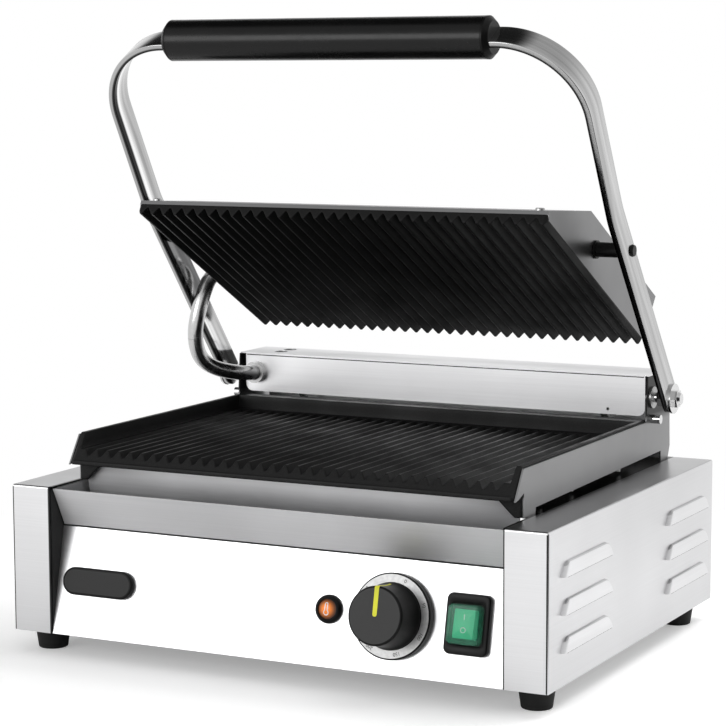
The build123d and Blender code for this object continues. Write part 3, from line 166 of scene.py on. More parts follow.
# Two dark shapes in the room, as dark_toward takes them: a card at the press's right, a beam overhead.
card = ((0.91, -0.41, 0.0), 0.80, 0.95, 0.03)
beam = ((-0.45, 0.25, 0.857), 0.80, 0.93, 0.03)
white_from, white_full = 0.27, 0.62                 # metres from the middle of the paper


def paper(name):
    """White paper: a faint fibre and the press's shadow close by, plain white light further out.

    The far white is what the lens and the polished parts see, so the sheet has no edge.  The card
    is seen only in polished parts: it gives folded edges their dark lines."""
    material, tree, place = begin(name, Base_Color=grey(0.86), Roughness=0.9)
    tone = spread(tree, noise(tree, place, 90.0, 5.0), 0.84, 0.88, 0.0, 1.0)
    rays = tree.nodes.new("ShaderNodeLightPath")
    seen, mirrored = rays.outputs["Is Camera Ray"], rays.outputs["Is Glossy Ray"]
    feed(material, Base_Color=tone, Emission_Strength=reckon(tree, "MULTIPLY", seen, 0.3))
    tree.nodes["finish"].inputs["Emission Color"].default_value = grey(1.0)
    far = put(tree, "ShaderNodeVectorMath", out="Value", set_operation="LENGTH", in0=place)
    far = spread(tree, far, 0.0, 1.0, white_from, white_full, course="SMOOTHSTEP")
    onward = put(tree, "ShaderNodeVectorMath", set_operation="NORMALIZE", in0=place)
    strength = between(tree, mirrored, 1.0, dark_toward(tree, onward, *card))
    white = put(tree, "ShaderNodeEmission", Color=grey(1.0), Strength=strength)
    share = reckon(tree, "MULTIPLY", reckon(tree, "MAXIMUM", seen, mirrored), far)
    sheet = put(tree, "ShaderNodeMixShader", Fac=share, in1=tree.nodes["finish"].outputs[0], in2=white)
    tree.links.new(sheet, tree.nodes["Material Output"].inputs[0])
    return material


paper_half, paper_sunk = 6.0, 0.0002
paper_corners = np.array([(-1, -1, 0), (1, -1, 0), (1, 1, 0), (-1, 1, 0)]) * paper_half - (0, 0, paper_sunk)
paper_mesh = bpy.data.meshes.new("paper")
paper_mesh.from_pydata(paper_corners.tolist(), [], [(0, 1, 2, 3)])
paper_sheet = bpy.data.objects.new("paper", paper_mesh)
paper_mesh.materials.append(paper("paper"))
scene.collection.objects.link(paper_sheet)

room = bpy.data.worlds.new("room")
room.use_nodes = True
scene.world = room
room_tree = room.node_tree
room_tree.nodes.clear()
path = room_tree.nodes.new("ShaderNodeLightPath")
seen_or_mirrored = reckon(room_tree, "MAXIMUM", path.outputs["Is Camera Ray"], path.outputs["Is Glossy Ray"])
seen_or_mirrored = reckon(room_tree, "MAXIMUM", seen_or_mirrored, path.outputs["Is Transmission Ray"])
way = put(room_tree, "ShaderNodeTexCoord", out="Generated")
height = put(room_tree, "ShaderNodeSeparateXYZ", out="Z", Vector=way)
ceiling = spread(room_tree, height, 1.0, 0.6, 0.25, 0.8, course="SMOOTHSTEP")
ceiling = reckon(room_tree, "MULTIPLY", ceiling, dark_toward(room_tree, way, *beam))
mirrored_tone = reckon(room_tree, "MULTIPLY", ceiling, dark_toward(room_tree, way, *card))
tone = between(room_tree, path.outputs["Is Glossy Ray"], 1.0, mirrored_tone)
room_light = put(room_tree, "ShaderNodeBackground", Color=grey(1.0), Strength=0.55)
room_white = put(room_tree, "ShaderNodeBackground", Color=tone, Strength=1.0)
room_mix = put(room_tree, "ShaderNodeMixShader", Fac=seen_or_mirrored, in1=room_light, in2=room_white)
room_out = room_tree.nodes.new("ShaderNodeOutputWorld")
room_tree.links.new(room_mix, room_out.inputs[0])


def soft_panel(name, place, aim, width, height, power, mirrored):
    """A soft box: a square lamp that shines from place towards aim.  Polished parts may show it or not."""
    lamp = bpy.data.lights.new(name, "AREA")
    lamp.shape = "RECTANGLE"
    lamp.size, lamp.size_y = width, height
    lamp.energy = power
    held = bpy.data.objects.new(name, lamp)
    held.location = place
    held.rotation_mode = "QUATERNION"
    held.rotation_quaternion = (Vector(aim) - Vector(place)).to_track_quat("-Z", "Y")
    held.visible_glossy = mirrored
    scene.collection.objects.link(held)


soft_panel("front_panel_light", (-0.95, -2.1, 0.75), (0, -0.1, 0.1), 1.5, 0.9, 14.0, mirrored=True)
soft_panel("top_light", (0.7, 0.9, 2.0), (0, 0, 0.1), 1.6, 1.6, 34.0, mirrored=False)
soft_panel("right_light", (2.3, 0.5, 0.9), (0, 0, 0.1), 1.2, 1.2, 12.0, mirrored=False)


# ==========================================================
# Casing: stainless sheet with a long horizontal grain, folded into posts, sides and deck.
# The rear panel and the pan are screwed in, and it stands on four rubber feet.
def dress(material, *names):
    """Gives the material to frame nodes in place of the one they came with."""
    for name in names:
        slots = node[name].data.materials
        slots.clear()
        slots.append(material)


def brushed_steel(name, colour, rough, level_painted_shade=0.72, painted_shade=None):
    """Sheet steel with a directional grain.

    The grain is noise stretched along the rolling direction: along X and Y on upright faces, along Y
    on level ones, plus slow clouding and hand marks.  Level faces are painted darker, their tone times
    level_painted_shade: painted shade.  painted_shade, as (axis, full_shade, clear, tone), paints shade of
    that tone on what lies past full_shade along that axis, away from clear, either side of the middle."""
    material = finish(name, Metallic=1.0, Anisotropic=0.35)
    tree = material.node_tree
    where = tree.nodes.new("ShaderNodeTexCoord")
    place = where.outputs["Object"]
    upright_grain = put(tree, "ShaderNodeMapping", Vector=place, Scale=(5, 5, 900))
    level_grain = put(tree, "ShaderNodeMapping", Vector=place, Scale=(900, 5, 5))
    facing = put(tree, "ShaderNodeSeparateXYZ", out="Z", Vector=where.outputs["Normal"])
    level = reckon(tree, "GREATER_THAN", reckon(tree, "ABSOLUTE", facing), 0.7)
    course = put(tree, "ShaderNodeMix", out=1, set_data_type="VECTOR", in0=level, in4=upright_grain,
                 in5=level_grain)
    grain = noise(tree, course, 1.0, 5.0, Roughness=0.65)
    cloud = noise(tree, place, 6.0, 2.0)
    marks = noise(tree, place, 42.0, 6.0, Distortion=0.6)
    tone = spread(tree, grain, colour * 0.965, colour * 1.028, 0.25, 0.75)
    tone = reckon(tree, "MULTIPLY", tone, spread(tree, cloud, 0.9, 1.05, 0.32, 0.68))
    # Painted shade: level faces get their tone times level_painted_shade, and painted_shade paints one band
    # of places darker.
    tone = reckon(tree, "MULTIPLY", tone, between(tree, level, 1.0, level_painted_shade))
    if painted_shade:
        axis, full_shade, clear, depth = painted_shade
        reach = reckon(tree, "ABSOLUTE", put(tree, "ShaderNodeSeparateXYZ", out=axis, Vector=place))
        tone = reckon(tree, "MULTIPLY", tone, spread(tree, reach, depth, 1.0, full_shade, clear))
    bluish = reckon(tree, "MULTIPLY", tone, 1.012)
    tint = put(tree, "ShaderNodeCombineColor", Red=tone, Green=tone, Blue=bluish)
    sheen = spread(tree, grain, rough - 0.025, rough + 0.03, 0.2, 0.8)
    sheen = reckon(tree, "ADD", sheen, spread(tree, marks, 0.0, 0.035, 0.35, 0.75))
    return wear(material, tint, sheen, grain, 0.008, 0.0001)


# Painted shade on the casing: whatever lies within 182.9 mm of the middle, such as the posts' inner returns,
# is painted to 0.05 of its tone.
folded_steel = brushed_steel("folded_steel", 0.77, 0.29, painted_shade=("X", 0.1829, 0.1834, 0.05))
dress(brushed_steel("brushed_steel", 0.76, 0.29), "rear_panel", "front_panel")
dress(folded_steel, "casing_shell")
dress(brushed_steel("pan_steel", 0.5, 0.42), "base_pan", "tray_runners")


def zinc(name, colour, rough):
    """Plated small steel parts: a bright ground with a faint crystal mottle and scuffs."""
    material, tree, place = begin(name, Metallic=1.0)
    tone = spread(tree, noise(tree, place, 420.0, 4.0), colour * 0.85, colour * 1.08)
    scuff = noise(tree, place, 1800.0, 3.0)
    sheen = spread(tree, scuff, rough - 0.06, rough + 0.1)
    return wear(material, tone, sheen, scuff, 0.15, 0.00008)


bright_zinc = zinc("bright_zinc", 0.55, 0.3)
dress(bright_zinc, "rear_panel_screws", "foot_screws", "cradle_studs")


def moulded(name, colour, rough, gloss):
    """Moulded plastic or rubber: an even colour with a fine spark-eroded grain and slow gloss changes."""
    material, tree, place = begin(name, Specular_IOR_Level=gloss)
    slow = noise(tree, place, 60.0, 4.0)
    tint = put(tree, "ShaderNodeVectorMath", set_operation="SCALE", in0=colour[:3],
               Scale=spread(tree, slow, 0.9, 1.1))
    sheen = spread(tree, slow, rough - 0.04, rough + 0.06)
    return wear(material, tint, sheen, noise(tree, place, 1500.0, 2.0), 0.3, 0.00006)


dress(moulded("foot_rubber", grey(0.008), 0.55, gloss=0.25), "feet")
black_plastic = moulded("black_plastic", grey(0.004), 0.36, gloss=0.16)
dress(black_plastic, "cable_gland")


def skin(name, grid, material, ring=False, capped=False, crease=40.0):
    """A mesh over a grid of points (rows, columns, xyz): one face between each four neighbours.

    ring joins the last column to the first.  capped closes the first and last rows with fans to their
    middles.  A closed shape is turned so that its volume, summed over its triangles, is positive."""
    rows, columns = grid.shape[:2]
    index = np.arange(rows * columns).reshape(rows, columns)
    if ring:
        index = np.concatenate([index, index[:, :1]], axis=1)
    faces = np.stack([index[:-1, :-1], index[:-1, 1:], index[1:, 1:], index[1:, :-1]], axis=-1)
    faces = faces.reshape(-1, 4)
    points = grid.reshape(-1, 3)
    fans = np.empty((0, 3), int)
    if capped:
        points = np.concatenate([points, grid[:1].mean(axis=1), grid[-1:].mean(axis=1)])
        first, last = rows * columns, rows * columns + 1
        fans = np.concatenate([
            np.stack([index[0, 1:], index[0, :-1], np.full(index.shape[1] - 1, first)], axis=-1),
            np.stack([index[-1, :-1], index[-1, 1:], np.full(index.shape[1] - 1, last)], axis=-1),
        ])
    corners = points[np.concatenate([faces[:, [0, 1, 2]], faces[:, [0, 2, 3]], fans])]
    volume = np.einsum("ij,ij->", corners[:, 0], np.cross(corners[:, 1], corners[:, 2]))
    if volume < 0:
        faces, fans = faces[:, ::-1], fans[:, ::-1]
    mesh = bpy.data.meshes.new(name)
    mesh.from_pydata(points.tolist(), [], faces.tolist() + fans.tolist())
    mesh.shade_smooth()
    mesh.set_sharp_from_angle(angle=radians(crease))
    mesh.materials.append(material)
    made = bpy.data.objects.new(name, mesh)
    scene.collection.objects.link(made)
    return made


def rounding(distance, radius):
    """How far a quarter-round edge falls away, at a distance inside its start: radius less root."""
    reach = np.clip(distance, 0, radius)
    return radius - np.sqrt(np.maximum(radius**2 - reach**2, 0))


# Painted shadow: a near-black plastic for the thin blocks that stand for shade in gaps.
gap_shadow_paint = moulded("seam_shadow", grey(0.02), 0.6, gloss=0.2)


def dark_gap(name, x, y, z):
    """Painted shadow in a gap between two sheets: a thin dark block between two ends along x, y and z."""
    reach = np.sort(np.array((x, y, z)), axis=1)
    turn = np.array([(0, 0), (1, 0), (1, 1), (0, 1)])
    grid = np.stack([np.column_stack([turn, np.full(4, level)]) for level in (0, 1)])
    grid = reach[:, 0] + grid * (reach[:, 1] - reach[:, 0])
    made = skin(name, grid / 1000, gap_shadow_paint, ring=True, capped=True)
    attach(made, "base")


def hand(side):
    """The name of a side: -1 is the press's left in the view, 1 its right."""
    return "left" if side < 0 else "right"


front = -159.9                   # the casing's front
casing_half, casing_top, foot_height, post_width = 215.0, 125.9, 16.0, 32.8

# Louvres: pressed out of each side wall in one blow, open below, with a rolled brow and drawn ends.
louvre_reach, louvre_rise, louvre_stand, louvre_wall = 45.6, 10.0, 3.6, 0.8
louvre_end, louvre_lean, louvre_turn, louvre_root = 3.0, 0.765, 4.0, 0.6
rise = louvre_rise * (1 - np.linspace(0, 1, 15) ** 2.0)      # from the brow down to the open edge
ends = louvre_reach - louvre_lean * rise - rounding(rise - (louvre_rise - louvre_turn), louvre_turn)
near_end = 0.075 * np.linspace(0, 1, 10) ** 2
sweep = np.concatenate([near_end - 1, np.linspace(-0.9, 0.9, 9), 1 - near_end[::-1]])
along = ends[:, None] * sweep[None, :]
drawn = np.clip((ends[:, None] - np.abs(along)) / louvre_end, 0, 1)
stand = louvre_stand * np.sqrt(1 - (rise / louvre_rise) ** 4)[:, None] * np.sqrt(1 - (1 - drawn) ** 2)
hood = np.stack([stand, along, np.broadcast_to(rise[:, None], along.shape)], axis=-1)
lining = hood[::-1].copy()
lining[..., 0] = np.maximum(lining[..., 0] - louvre_wall, -louvre_root)
hood = np.concatenate([hood, lining])
hood_steel = brushed_steel("hood_steel", 0.85, 0.29)
louvre_places = [(side, back, up) for side in (-1, 1) for back in (66.5, 270.5) for up in (39.7, 65.7, 91.7)]
for side, back, up in louvre_places:
    louvre = (hood + (casing_half, back + front, up)) * (side, 1, 1)
    louvre = skin(f"louvre_{hand(side)}_{int(back)}_{int(up)}", louvre / 1000, hood_steel, crease=85)
    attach(louvre, "base")

# Posts: the wrap's front edge is folded round each post's face, and the joint shows as a dark line: a thin
# dark block of painted shadow.  Behind each post a thin dark block of painted shade closes the wedge beside
# the leaning panel.
post_inner = casing_half - post_width
seam_z, wedge_shade_z = (foot_height + 0.3, casing_top - 1.9), (foot_height + 0.8, casing_top - 2.2)
for name, x, y, z in (("post_seam", (213.35, 214.35), (0.12, 0.68), seam_z),
                      ("post_wedge_shade", (post_inner - 0.45, post_inner - 0.15), (2.0, 40.5), wedge_shade_z)):
    for side in (-1, 1):
        dark_gap(f"{name}_{hand(side)}", (side * x[0], side * x[1]), (front + y[0], front + y[1]), z)

# The slot under each louvre's open edge shows as a thin dark line: a block of painted shadow.
slot_inner, slot_outer, slot_half = casing_half + 3.0, casing_half + 3.57, 0.2
slot_reach = louvre_reach - 4.5
for side, back, up in louvre_places:
    dark_gap(f"louvre_slot_{hand(side)}_{int(back)}_{int(up)}", (side * slot_inner, side * slot_outer),
             (back + front - slot_reach, back + front + slot_reach), (up - slot_half, up + slot_half))

# Painted shadow in the gap between the panel's top bend and the drip tray's front.
dark_gap("panel_gap", (-181.5, 181.5), (front + 17.55, front + 18.4), (94.45, 95.06))

# ==========================================================
# Control panel: a bare badge, a pilot lamp, the thermostat dial and a sealed rocker switch.
# The panel leans back and its controls stand in one row.
panel_lean = radians(12.2)
controls_row, panel_foot = 40.5, 0.9


def unit(rows):
    """Each row divided by its length."""
    return rows / np.linalg.norm(rows, axis=-1, keepdims=True)


def leaned(points, lean, foot_y, foot_z):
    """Turns points (x, up a face, out from it) into the press's frame: the face leans back from its foot."""
    up, out = points[..., 1], points[..., 2]
    return np.stack([points[..., 0], foot_y + up * sin(lean) - out * cos(lean),
                     foot_z + up * cos(lean) + out * sin(lean)], axis=-1)


def on_panel(points):
    """Places points given as (x, up the panel from the controls' row, out from its face)."""
    return leaned(points + (0, controls_row, 0), panel_lean, front + panel_foot, foot_height)


def rounded_outline(width, height, radius):
    """Points round a rectangle whose corners are arcs."""
    arcs = []
    for turn, (across, up) in enumerate(((1, 1), (-1, 1), (-1, -1), (1, -1))):
        angle = np.linspace(0, pi / 2, 12) + turn * pi / 2
        arcs.append(np.stack([across * (width / 2 - radius) + radius * np.cos(angle),
                              up * (height / 2 - radius) + radius * np.sin(angle)], axis=-1))
    return np.concatenate(arcs)


def moulding(name, x, steps, material, place=on_panel):
    """A closed moulding through outlines, each given as (width, height, corner radius, how far out)."""
    rows = []
    for width, height, radius, out in steps:
        outline = rounded_outline(width, height, radius)
        rows.append(np.column_stack([outline[:, 0] + x, outline[:, 1], np.full(len(outline), out)]))
    return skin(name, place(np.stack(rows)) / 1000, material, ring=True, capped=True)


def turned(name, x, profile, material):
    """A piece turned about an axis square to the panel: each (radius, how far out) becomes a ring."""
    profile = np.array(profile, float)
    angle = np.linspace(0, 2 * pi, 96, endpoint=False)
    grid = np.empty((len(profile), len(angle), 3))
    grid[..., 0] = x + profile[:, :1] * np.cos(angle)
    grid[..., 1] = profile[:, :1] * np.sin(angle)
    grid[..., 2] = profile[:, 1:]
    return skin(name, on_panel(grid) / 1000, material, ring=True, capped=True, crease=35)


def points_of(holder):
    """An object's shape as a mesh, with its points as rows."""
    mesh = bpy.data.meshes.new_from_object(holder)
    flat = np.empty(3 * len(mesh.vertices), np.float32)
    mesh.vertices.foreach_get("co", flat)
    return mesh, flat.reshape(-1, 3).astype(float)


letter_thick = 0.12


def lettering(name, words, material, place):
    """Words (text, size, x, up, turn) cut as thin raised letters, joined in one mesh and set by place."""
    points, faces, start = [], [], 0
    for text, size, x, up, turn in words:
        curve = bpy.data.curves.new(name, "FONT")
        curve.body, curve.size, curve.extrude = text, size, letter_thick / 2
        curve.align_x, curve.align_y = "CENTER", "CENTER"
        holder = bpy.data.objects.new(name, curve)
        cut, flat = points_of(holder)
        points.append(np.column_stack([x + flat[:, 0] * cos(turn) - flat[:, 1] * sin(turn),
                                       up + flat[:, 0] * sin(turn) + flat[:, 1] * cos(turn), flat[:, 2]]))
        faces += [[corner + start for corner in face.vertices] for face in cut.polygons]
        start += len(flat)
        bpy.data.objects.remove(holder)
        bpy.data.meshes.remove(cut)
    mesh = bpy.data.meshes.new(name)
    mesh.from_pydata((place(np.concatenate(points)) / 1000).tolist(), [], faces)
    mesh.materials.append(material)
    made = bpy.data.objects.new(name, mesh)
    scene.collection.objects.link(made)
    return made


# Badge: a bare pill of black plastic with a matt dark face let into its rim.
badge_x, badge_long, badge_high = -145.0, 60.0, 20.5


def pill(name, steps, material):
    """A moulding with half-round ends through steps of (how far inside the badge's outline, how far out)."""
    half = badge_high / 2
    steps = [(badge_long - 2 * inset, 2 * (half - inset), half - inset, out) for inset, out in steps]
    return moulding(name, badge_x, steps, material)


badge = pill("badge_body", ((0, 0), (0, 3.3), (0.12, 3.8), (0.5, 4.25), (1.1, 4.45), (1.6, 4.5)),
             black_plastic)
badge_face = pill("badge_face", ((1.9, 4.3), (1.9, 4.52), (2.0, 4.58), (2.2, 4.6)),
                  moulded("badge_face", grey(0.035), 0.6, gloss=0.22))
for piece in (badge, badge_face):
    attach(piece, "base")
    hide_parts("badge_plaque")

# Pilot lamp: a black domed bezel round an amber lens, painted brightest at its middle, with a thermometer
# sign.
lamp_x, lens_radius, lens_top, lens_foot, lens_fall = 46.0, 7.0, 5.5, 2.0, 1.8
bezel = turned("lamp_ring", lamp_x, [
    (10.25, 0), (10.25, 1.4), (10.05, 2.4), (9.5, 3.4), (8.6, 4.2), (7.8, 4.5), (7.25, 4.3), (7.05, 3.6),
    (lens_radius, lens_foot)], black_plastic)
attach(bezel, "base")
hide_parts("lamp_bezel")
# Painted glow: the amber's colour is painted 2.3 times as bright within 2 mm of the lens's middle, falling
# to 0.2 of it at the rim.
amber_colour, glow_middle, glow_from = (0.5, 0.13, 0.012), np.array((lamp_x, 0.0, 5.0)), 0.002
amber = moulded("amber", amber_colour, 0.12, gloss=0.5)
amber_tree = amber.node_tree
place = put(amber_tree, "ShaderNodeTexCoord", out="Object")
off_middle = put(amber_tree, "ShaderNodeVectorMath", out="Value", set_operation="DISTANCE", in0=place,
                 in1=tuple(on_panel(glow_middle) / 1000))
glow = spread(amber_tree, off_middle, 2.3, 0.2, glow_from, lens_radius / 1000, course="SMOOTHSTEP")
tint = put(amber_tree, "ShaderNodeVectorMath", set_operation="SCALE", in0=amber_colour, Scale=glow)
feed(amber, Base_Color=tint)
dome = np.linspace(1.0, 0.02, 14)
lens = turned("lamp_dome", lamp_x, [(lens_radius, lens_foot)]
              + [(lens_radius * r, lens_top - lens_fall * r * r) for r in dome], amber)
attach(lens, "base")
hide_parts("lamp_lens")

# The sign is one raised line: round the bulb, up one side of the stem, over its top and down the other.
bulb_radius, stem_half, stem_top, bulb_low = 1.75, 0.95, 3.5, -2.4
sign_half, sign_root, sign_lift = 0.3, -0.15, 0.14
neck = float(np.arcsin(stem_half / bulb_radius))
sweep = np.linspace(pi / 2 + neck, 5 * pi / 2 - neck, 40)
cap = np.linspace(0, pi, 16)
stem = np.linspace(bulb_low + bulb_radius, stem_top, 14)[1:-1]
sign = np.concatenate([
    np.stack([bulb_radius * np.cos(sweep), bulb_low + bulb_radius * np.sin(sweep)], axis=-1),
    np.stack([np.full(len(stem), stem_half), stem], axis=-1),
    np.stack([stem_half * np.cos(cap), stem_top + stem_half * np.sin(cap)], axis=-1),
    np.stack([np.full(len(stem), -stem_half), stem[::-1]], axis=-1),
])
outward = unit(np.roll(sign, -1, axis=0) - np.roll(sign, 1, axis=0)) @ np.array([(0, -1), (1, 0)])
rings = []
for step, lift in ((-1, sign_root), (-1, sign_lift), (1, sign_lift), (1, sign_root), (-1, sign_root)):
    flat = sign + outward * step * sign_half
    over = lens_top - lens_fall * (flat ** 2).sum(axis=1) / lens_radius ** 2 + lift
    rings.append(np.column_stack([flat[:, 0] + lamp_x, flat[:, 1], over]))
white_paint = moulded("white_paint", grey(0.9), 0.45, gloss=0.5)
sign = skin("lamp_sign", on_panel(np.stack(rings)) / 1000, white_paint, ring=True)
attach(sign, "base")

# Thermostat dial: a black base, a silver ring of numbers, and a flared knob with a bright pointer.
dial_x, scale_middle, scale_out = 96.3, 26.25, 5.92
number_high, number_first, number_turn = 3.7, -20, -48        # height, then degrees round the ring
dress(black_plastic, "dial_ring", "thermostat_body")
dress(zinc("anodised_silver", 0.36, 0.36), "scale_ring")
marks = []
for number in range(7):
    turn = radians(number_first + number_turn * number)
    across, up = dial_x - scale_middle * sin(turn), scale_middle * cos(turn)
    marks.append((str(50 * number), number_high, across, up, turn))
numbers = lettering("scale_numbers", marks, moulded("scale_print", grey(0.03), 0.6, gloss=0.2),
                    lambda flat: on_panel(flat + (0, 0, scale_out)))
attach(numbers, "base")
knob_face_radius, knob_top, knob_rim, face_lift = 19.0, 30.75, 1.5, 0.03
skirt_foot, skirt_low, skirt_narrow, skirt_flare = (23.1, 6.4), 7.4, 20.45, 2.65
climb = np.linspace(0, 1, 22)
skirt_out = skirt_low + (knob_top - knob_rim - skirt_low) * climb
skirt_radius = skirt_narrow + skirt_flare * np.exp(-climb * 3.6)
turn_in = np.linspace(0, pi / 2, 8)[1:]
rim = [(knob_face_radius + knob_rim * cos(a), knob_top - knob_rim * (1 - sin(a))) for a in turn_in]
knob = turned("knob_skirt", dial_x, [skirt_foot] + list(zip(skirt_radius, skirt_out)) + rim, black_plastic)
knob_face = turned("knob_face", dial_x, [
    (knob_face_radius, knob_top - 0.3), (knob_face_radius, knob_top + 0.02), (10.0, knob_top + face_lift),
    (0.5, knob_top + face_lift)], moulded("knob_face", grey(0.035), 0.5, gloss=0.26))
for piece in (knob, knob_face):
    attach(piece, "knob")
    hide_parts("control_knob")

# Pointer: a painted line with a round end on the face, which runs over the rim and down the skirt.
pointer_low, pointer_half, pointer_taper = -0.5, 1.65, 0.035
end_turn = np.linspace(0.25, pi / 2, 7)
round_end = pointer_low + pointer_half * (1 - np.cos(end_turn))
over_face = np.linspace(2.5, knob_face_radius, 6)
down_skirt = slice(1, 19)
reach = np.concatenate([round_end, over_face, knob_face_radius + knob_rim * np.sin(turn_in),
                        skirt_radius[::-1][down_skirt]])
lift = np.concatenate([np.full(len(round_end) + len(over_face), knob_top + face_lift),
                       knob_top - knob_rim * (1 - np.cos(turn_in)), skirt_out[::-1][down_skirt]])
wide = pointer_half - pointer_taper * (knob_top - lift)
wide[:len(end_turn)] = pointer_half * np.sin(end_turn)
slope = unit(np.stack([np.gradient(reach), np.gradient(lift)], axis=-1))
off_reach, off_lift = -slope[:, 1], slope[:, 0]
rings = []
for side, above in ((-1, -0.3), (-1, 0.14), (0, 0.17), (1, 0.14), (1, -0.3)):
    across_line = side * wide
    fall = np.where(lift < knob_top - 0.1, across_line ** 2 / (2 * knob_face_radius), 0)
    up_line, out_line = reach + off_reach * above - fall, lift + off_lift * above
    rings.append(np.stack([dial_x + across_line, up_line, out_line], axis=-1))
pointer_yellow = moulded("pointer_paint", (0.75, 0.74, 0.04), 0.45, gloss=0.3)
pointer = skin("pointer_line", on_panel(np.stack(rings, axis=1)) / 1000, pointer_yellow, ring=True,
               capped=True, crease=50)
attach(pointer, "knob")
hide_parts("knob_pointer")

# Switch: a black bezel, and a green rocker under a soft clear green boot that keeps fat out.
switch_x = 153.25
bezel = moulding("switch_frame", switch_x, [
    (32.5, 42, 4.5, 0), (32.5, 42, 4.5, 3.2), (32.2, 41.7, 4.4, 4.1), (31.3, 40.8, 4.0, 4.8),
    (29.9, 39.4, 3.5, 5.0), (25.4, 28.9, 2.8, 5.0), (24.9, 28.4, 2.6, 4.8), (24.7, 28.2, 2.5, 3.0)],
    black_plastic)
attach(bezel, "base")
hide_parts("switch_bezel")
boot_green = moulded("boot_green", (0.05, 0.36, 0.2), 0.16, gloss=0.6)
boot_green.node_tree.nodes["finish"].inputs["Alpha"].default_value = 0.35
boot = moulding("switch_cover", switch_x, [
    (24, 27.5, 4.0, 3), (23.7, 27.2, 3.9, 9.8), (23.3, 26.8, 3.8, 11.1), (22.4, 25.9, 3.5, 11.8),
    (21.0, 24.5, 3.0, 12.0)], boot_green)
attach(boot, "base")
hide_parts("switch_boot")
rocker_lean = radians(16.2)
rocker_axis = on_panel(np.array((switch_x, 0.0, 3.5)))
sign_high, sign_up, sign_out = 5.6, 4.4, 6.24


def on_rocker(points):
    """Places points given as (x, up the rocker, out from its axis)."""
    return leaned(points, rocker_lean, rocker_axis[1], rocker_axis[2])


rocker = moulding("rocker_key", switch_x, [
    (15.5, 15, 1.2, -3), (15.5, 20, 1.2, 0), (15.5, 20, 1.2, 5.5), (15.2, 19.7, 1.1, 6.0),
    (14.5, 19.0, 1.0, 6.2)], moulded("rocker_green", (0.05, 0.68, 0.33), 0.35, gloss=0.4), place=on_rocker)
words = [("I", sign_high, switch_x, sign_up, 0), ("O", sign_high, switch_x, -sign_up, 0)]
signs = lettering("rocker_signs", words, white_paint, lambda flat: on_rocker(flat + (0, 0, sign_out)))
for piece in (rocker, signs):
    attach(piece, "rocker")
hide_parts("switch_rocker")
dress(bright_zinc, "thermostat_shaft", "thermostat_bulb")
dress(moulded("terminal_grey", grey(0.5), 0.4, gloss=0.5), "terminal_block")

# ==========================================================
# Drip tray and apron.  The tray is one folded pan that pulls out to the front.  The apron is one sheet
# bent under the lower casting: it hangs almost plumb behind the lip and sweeps back at its foot, so that
# drips run off it into the tray.
# Painted shade: the tray's level faces are painted to 0.35 of its tone.
dress(brushed_steel("tray_steel", 0.78, 0.5, level_painted_shade=0.35), "drip_tray")
apron_half, apron_sheet = 175.6, 1.0
apron_top, apron_drop, apron_back, apron_sweep = 138.2, 23.0, 41.7, 3.6
fall = np.linspace(0, 1, 30)
hang = np.stack([apron_back + apron_sweep * fall ** 2.4, apron_top - apron_drop * fall], axis=-1)
flange = [(58.0, 139.0), (50.0, 139.0), (43.4, 139.0), (42.6, 138.9), (42.05, 138.65), (41.8, 138.4)]
foot_turn = [(45.9, 114.3), (46.8, 113.6), (48.2, 113.0), (50.5, 112.4), (56.0, 111.4), (66.0, 109.9)]
profile = np.concatenate([flange, hang, foot_turn])
apron_across = np.linspace(-apron_half, apron_half, 5)
grid = np.empty((len(profile), len(apron_across), 3))
grid[..., 0] = apron_across[None, :]
grid[..., 1] = profile[:, None, 0] + front
grid[..., 2] = profile[:, None, 1]
# Painted light: the apron's steel is a lighter copy of the stainless, 0.86 against the casing's 0.77.
apron = skin("apron_sheet", grid / 1000, brushed_steel("apron_steel", 0.86, 0.6), crease=60)
folded = apron.modifiers.new("sheet", "SOLIDIFY")
folded.thickness, folded.offset, folded.use_even_offset = apron_sheet / 1000, -1.0, True
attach(apron, "base")
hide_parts("plate_apron")


# ==========================================================
# Lower casting and cradle.  The casting is a ribbed plate with a rim at its sides and back and a lip that
# slopes down at the front.  It rests on the ledges of two folded cradle sides, over the lower element.
def cast_iron(name, colour, rough):
    """Enamelled grey iron: near black, finely pitted, with a slow oily change of gloss."""
    material, tree, place = begin(name, Specular_IOR_Level=0.17)
    pits = noise(tree, place, 900.0, 4.0, Roughness=0.7)
    tone = spread(tree, pits, colour * 0.6, colour * 1.4)
    sheen = spread(tree, noise(tree, place, 28.0, 5.0), rough - 0.1, rough + 0.1)
    return wear(material, tone, sheen, pits, 0.35, 0.0002)


# Painted light: the lower casting's iron is a lighter copy of the lid's enamel, 0.011 against 0.005.
iron = cast_iron("enamelled_iron", 0.011, 0.5)
rib_pitch = 10.0


def softer_low(a, b, blend):
    """The lower of two heights, rounded over where they meet: their mix less blend times t(1 - t)."""
    t = np.clip(0.5 + 0.5 * (b - a) / blend, 0, 1)
    return b + (a - b) * t - blend * t * (1 - t)


def softer_high(a, b, blend):
    """The higher of two heights, rounded under where they meet."""
    return -softer_low(-a, -b, blend)


def rib_middles(count):
    """Where the middles of that many grooves lie, evenly about zero."""
    return (np.arange(count) - (count - 1) / 2) * rib_pitch


def rib_columns(count, edges, inner):
    """Places across a casting: sixteen to each rib within inner, then the given edges, both ways."""
    over_half = np.array([0.55, 1.2, 2.2, 3.2, 3.95, 4.3, 4.65])
    over_rib = np.concatenate([[-rib_pitch / 2], -over_half[::-1], [0], over_half])
    field = (rib_middles(count)[:, None] + over_rib[None, :]).ravel()
    field = field[np.abs(field) < inner]
    return np.unique(np.concatenate([-edges[::-1], field, edges]))


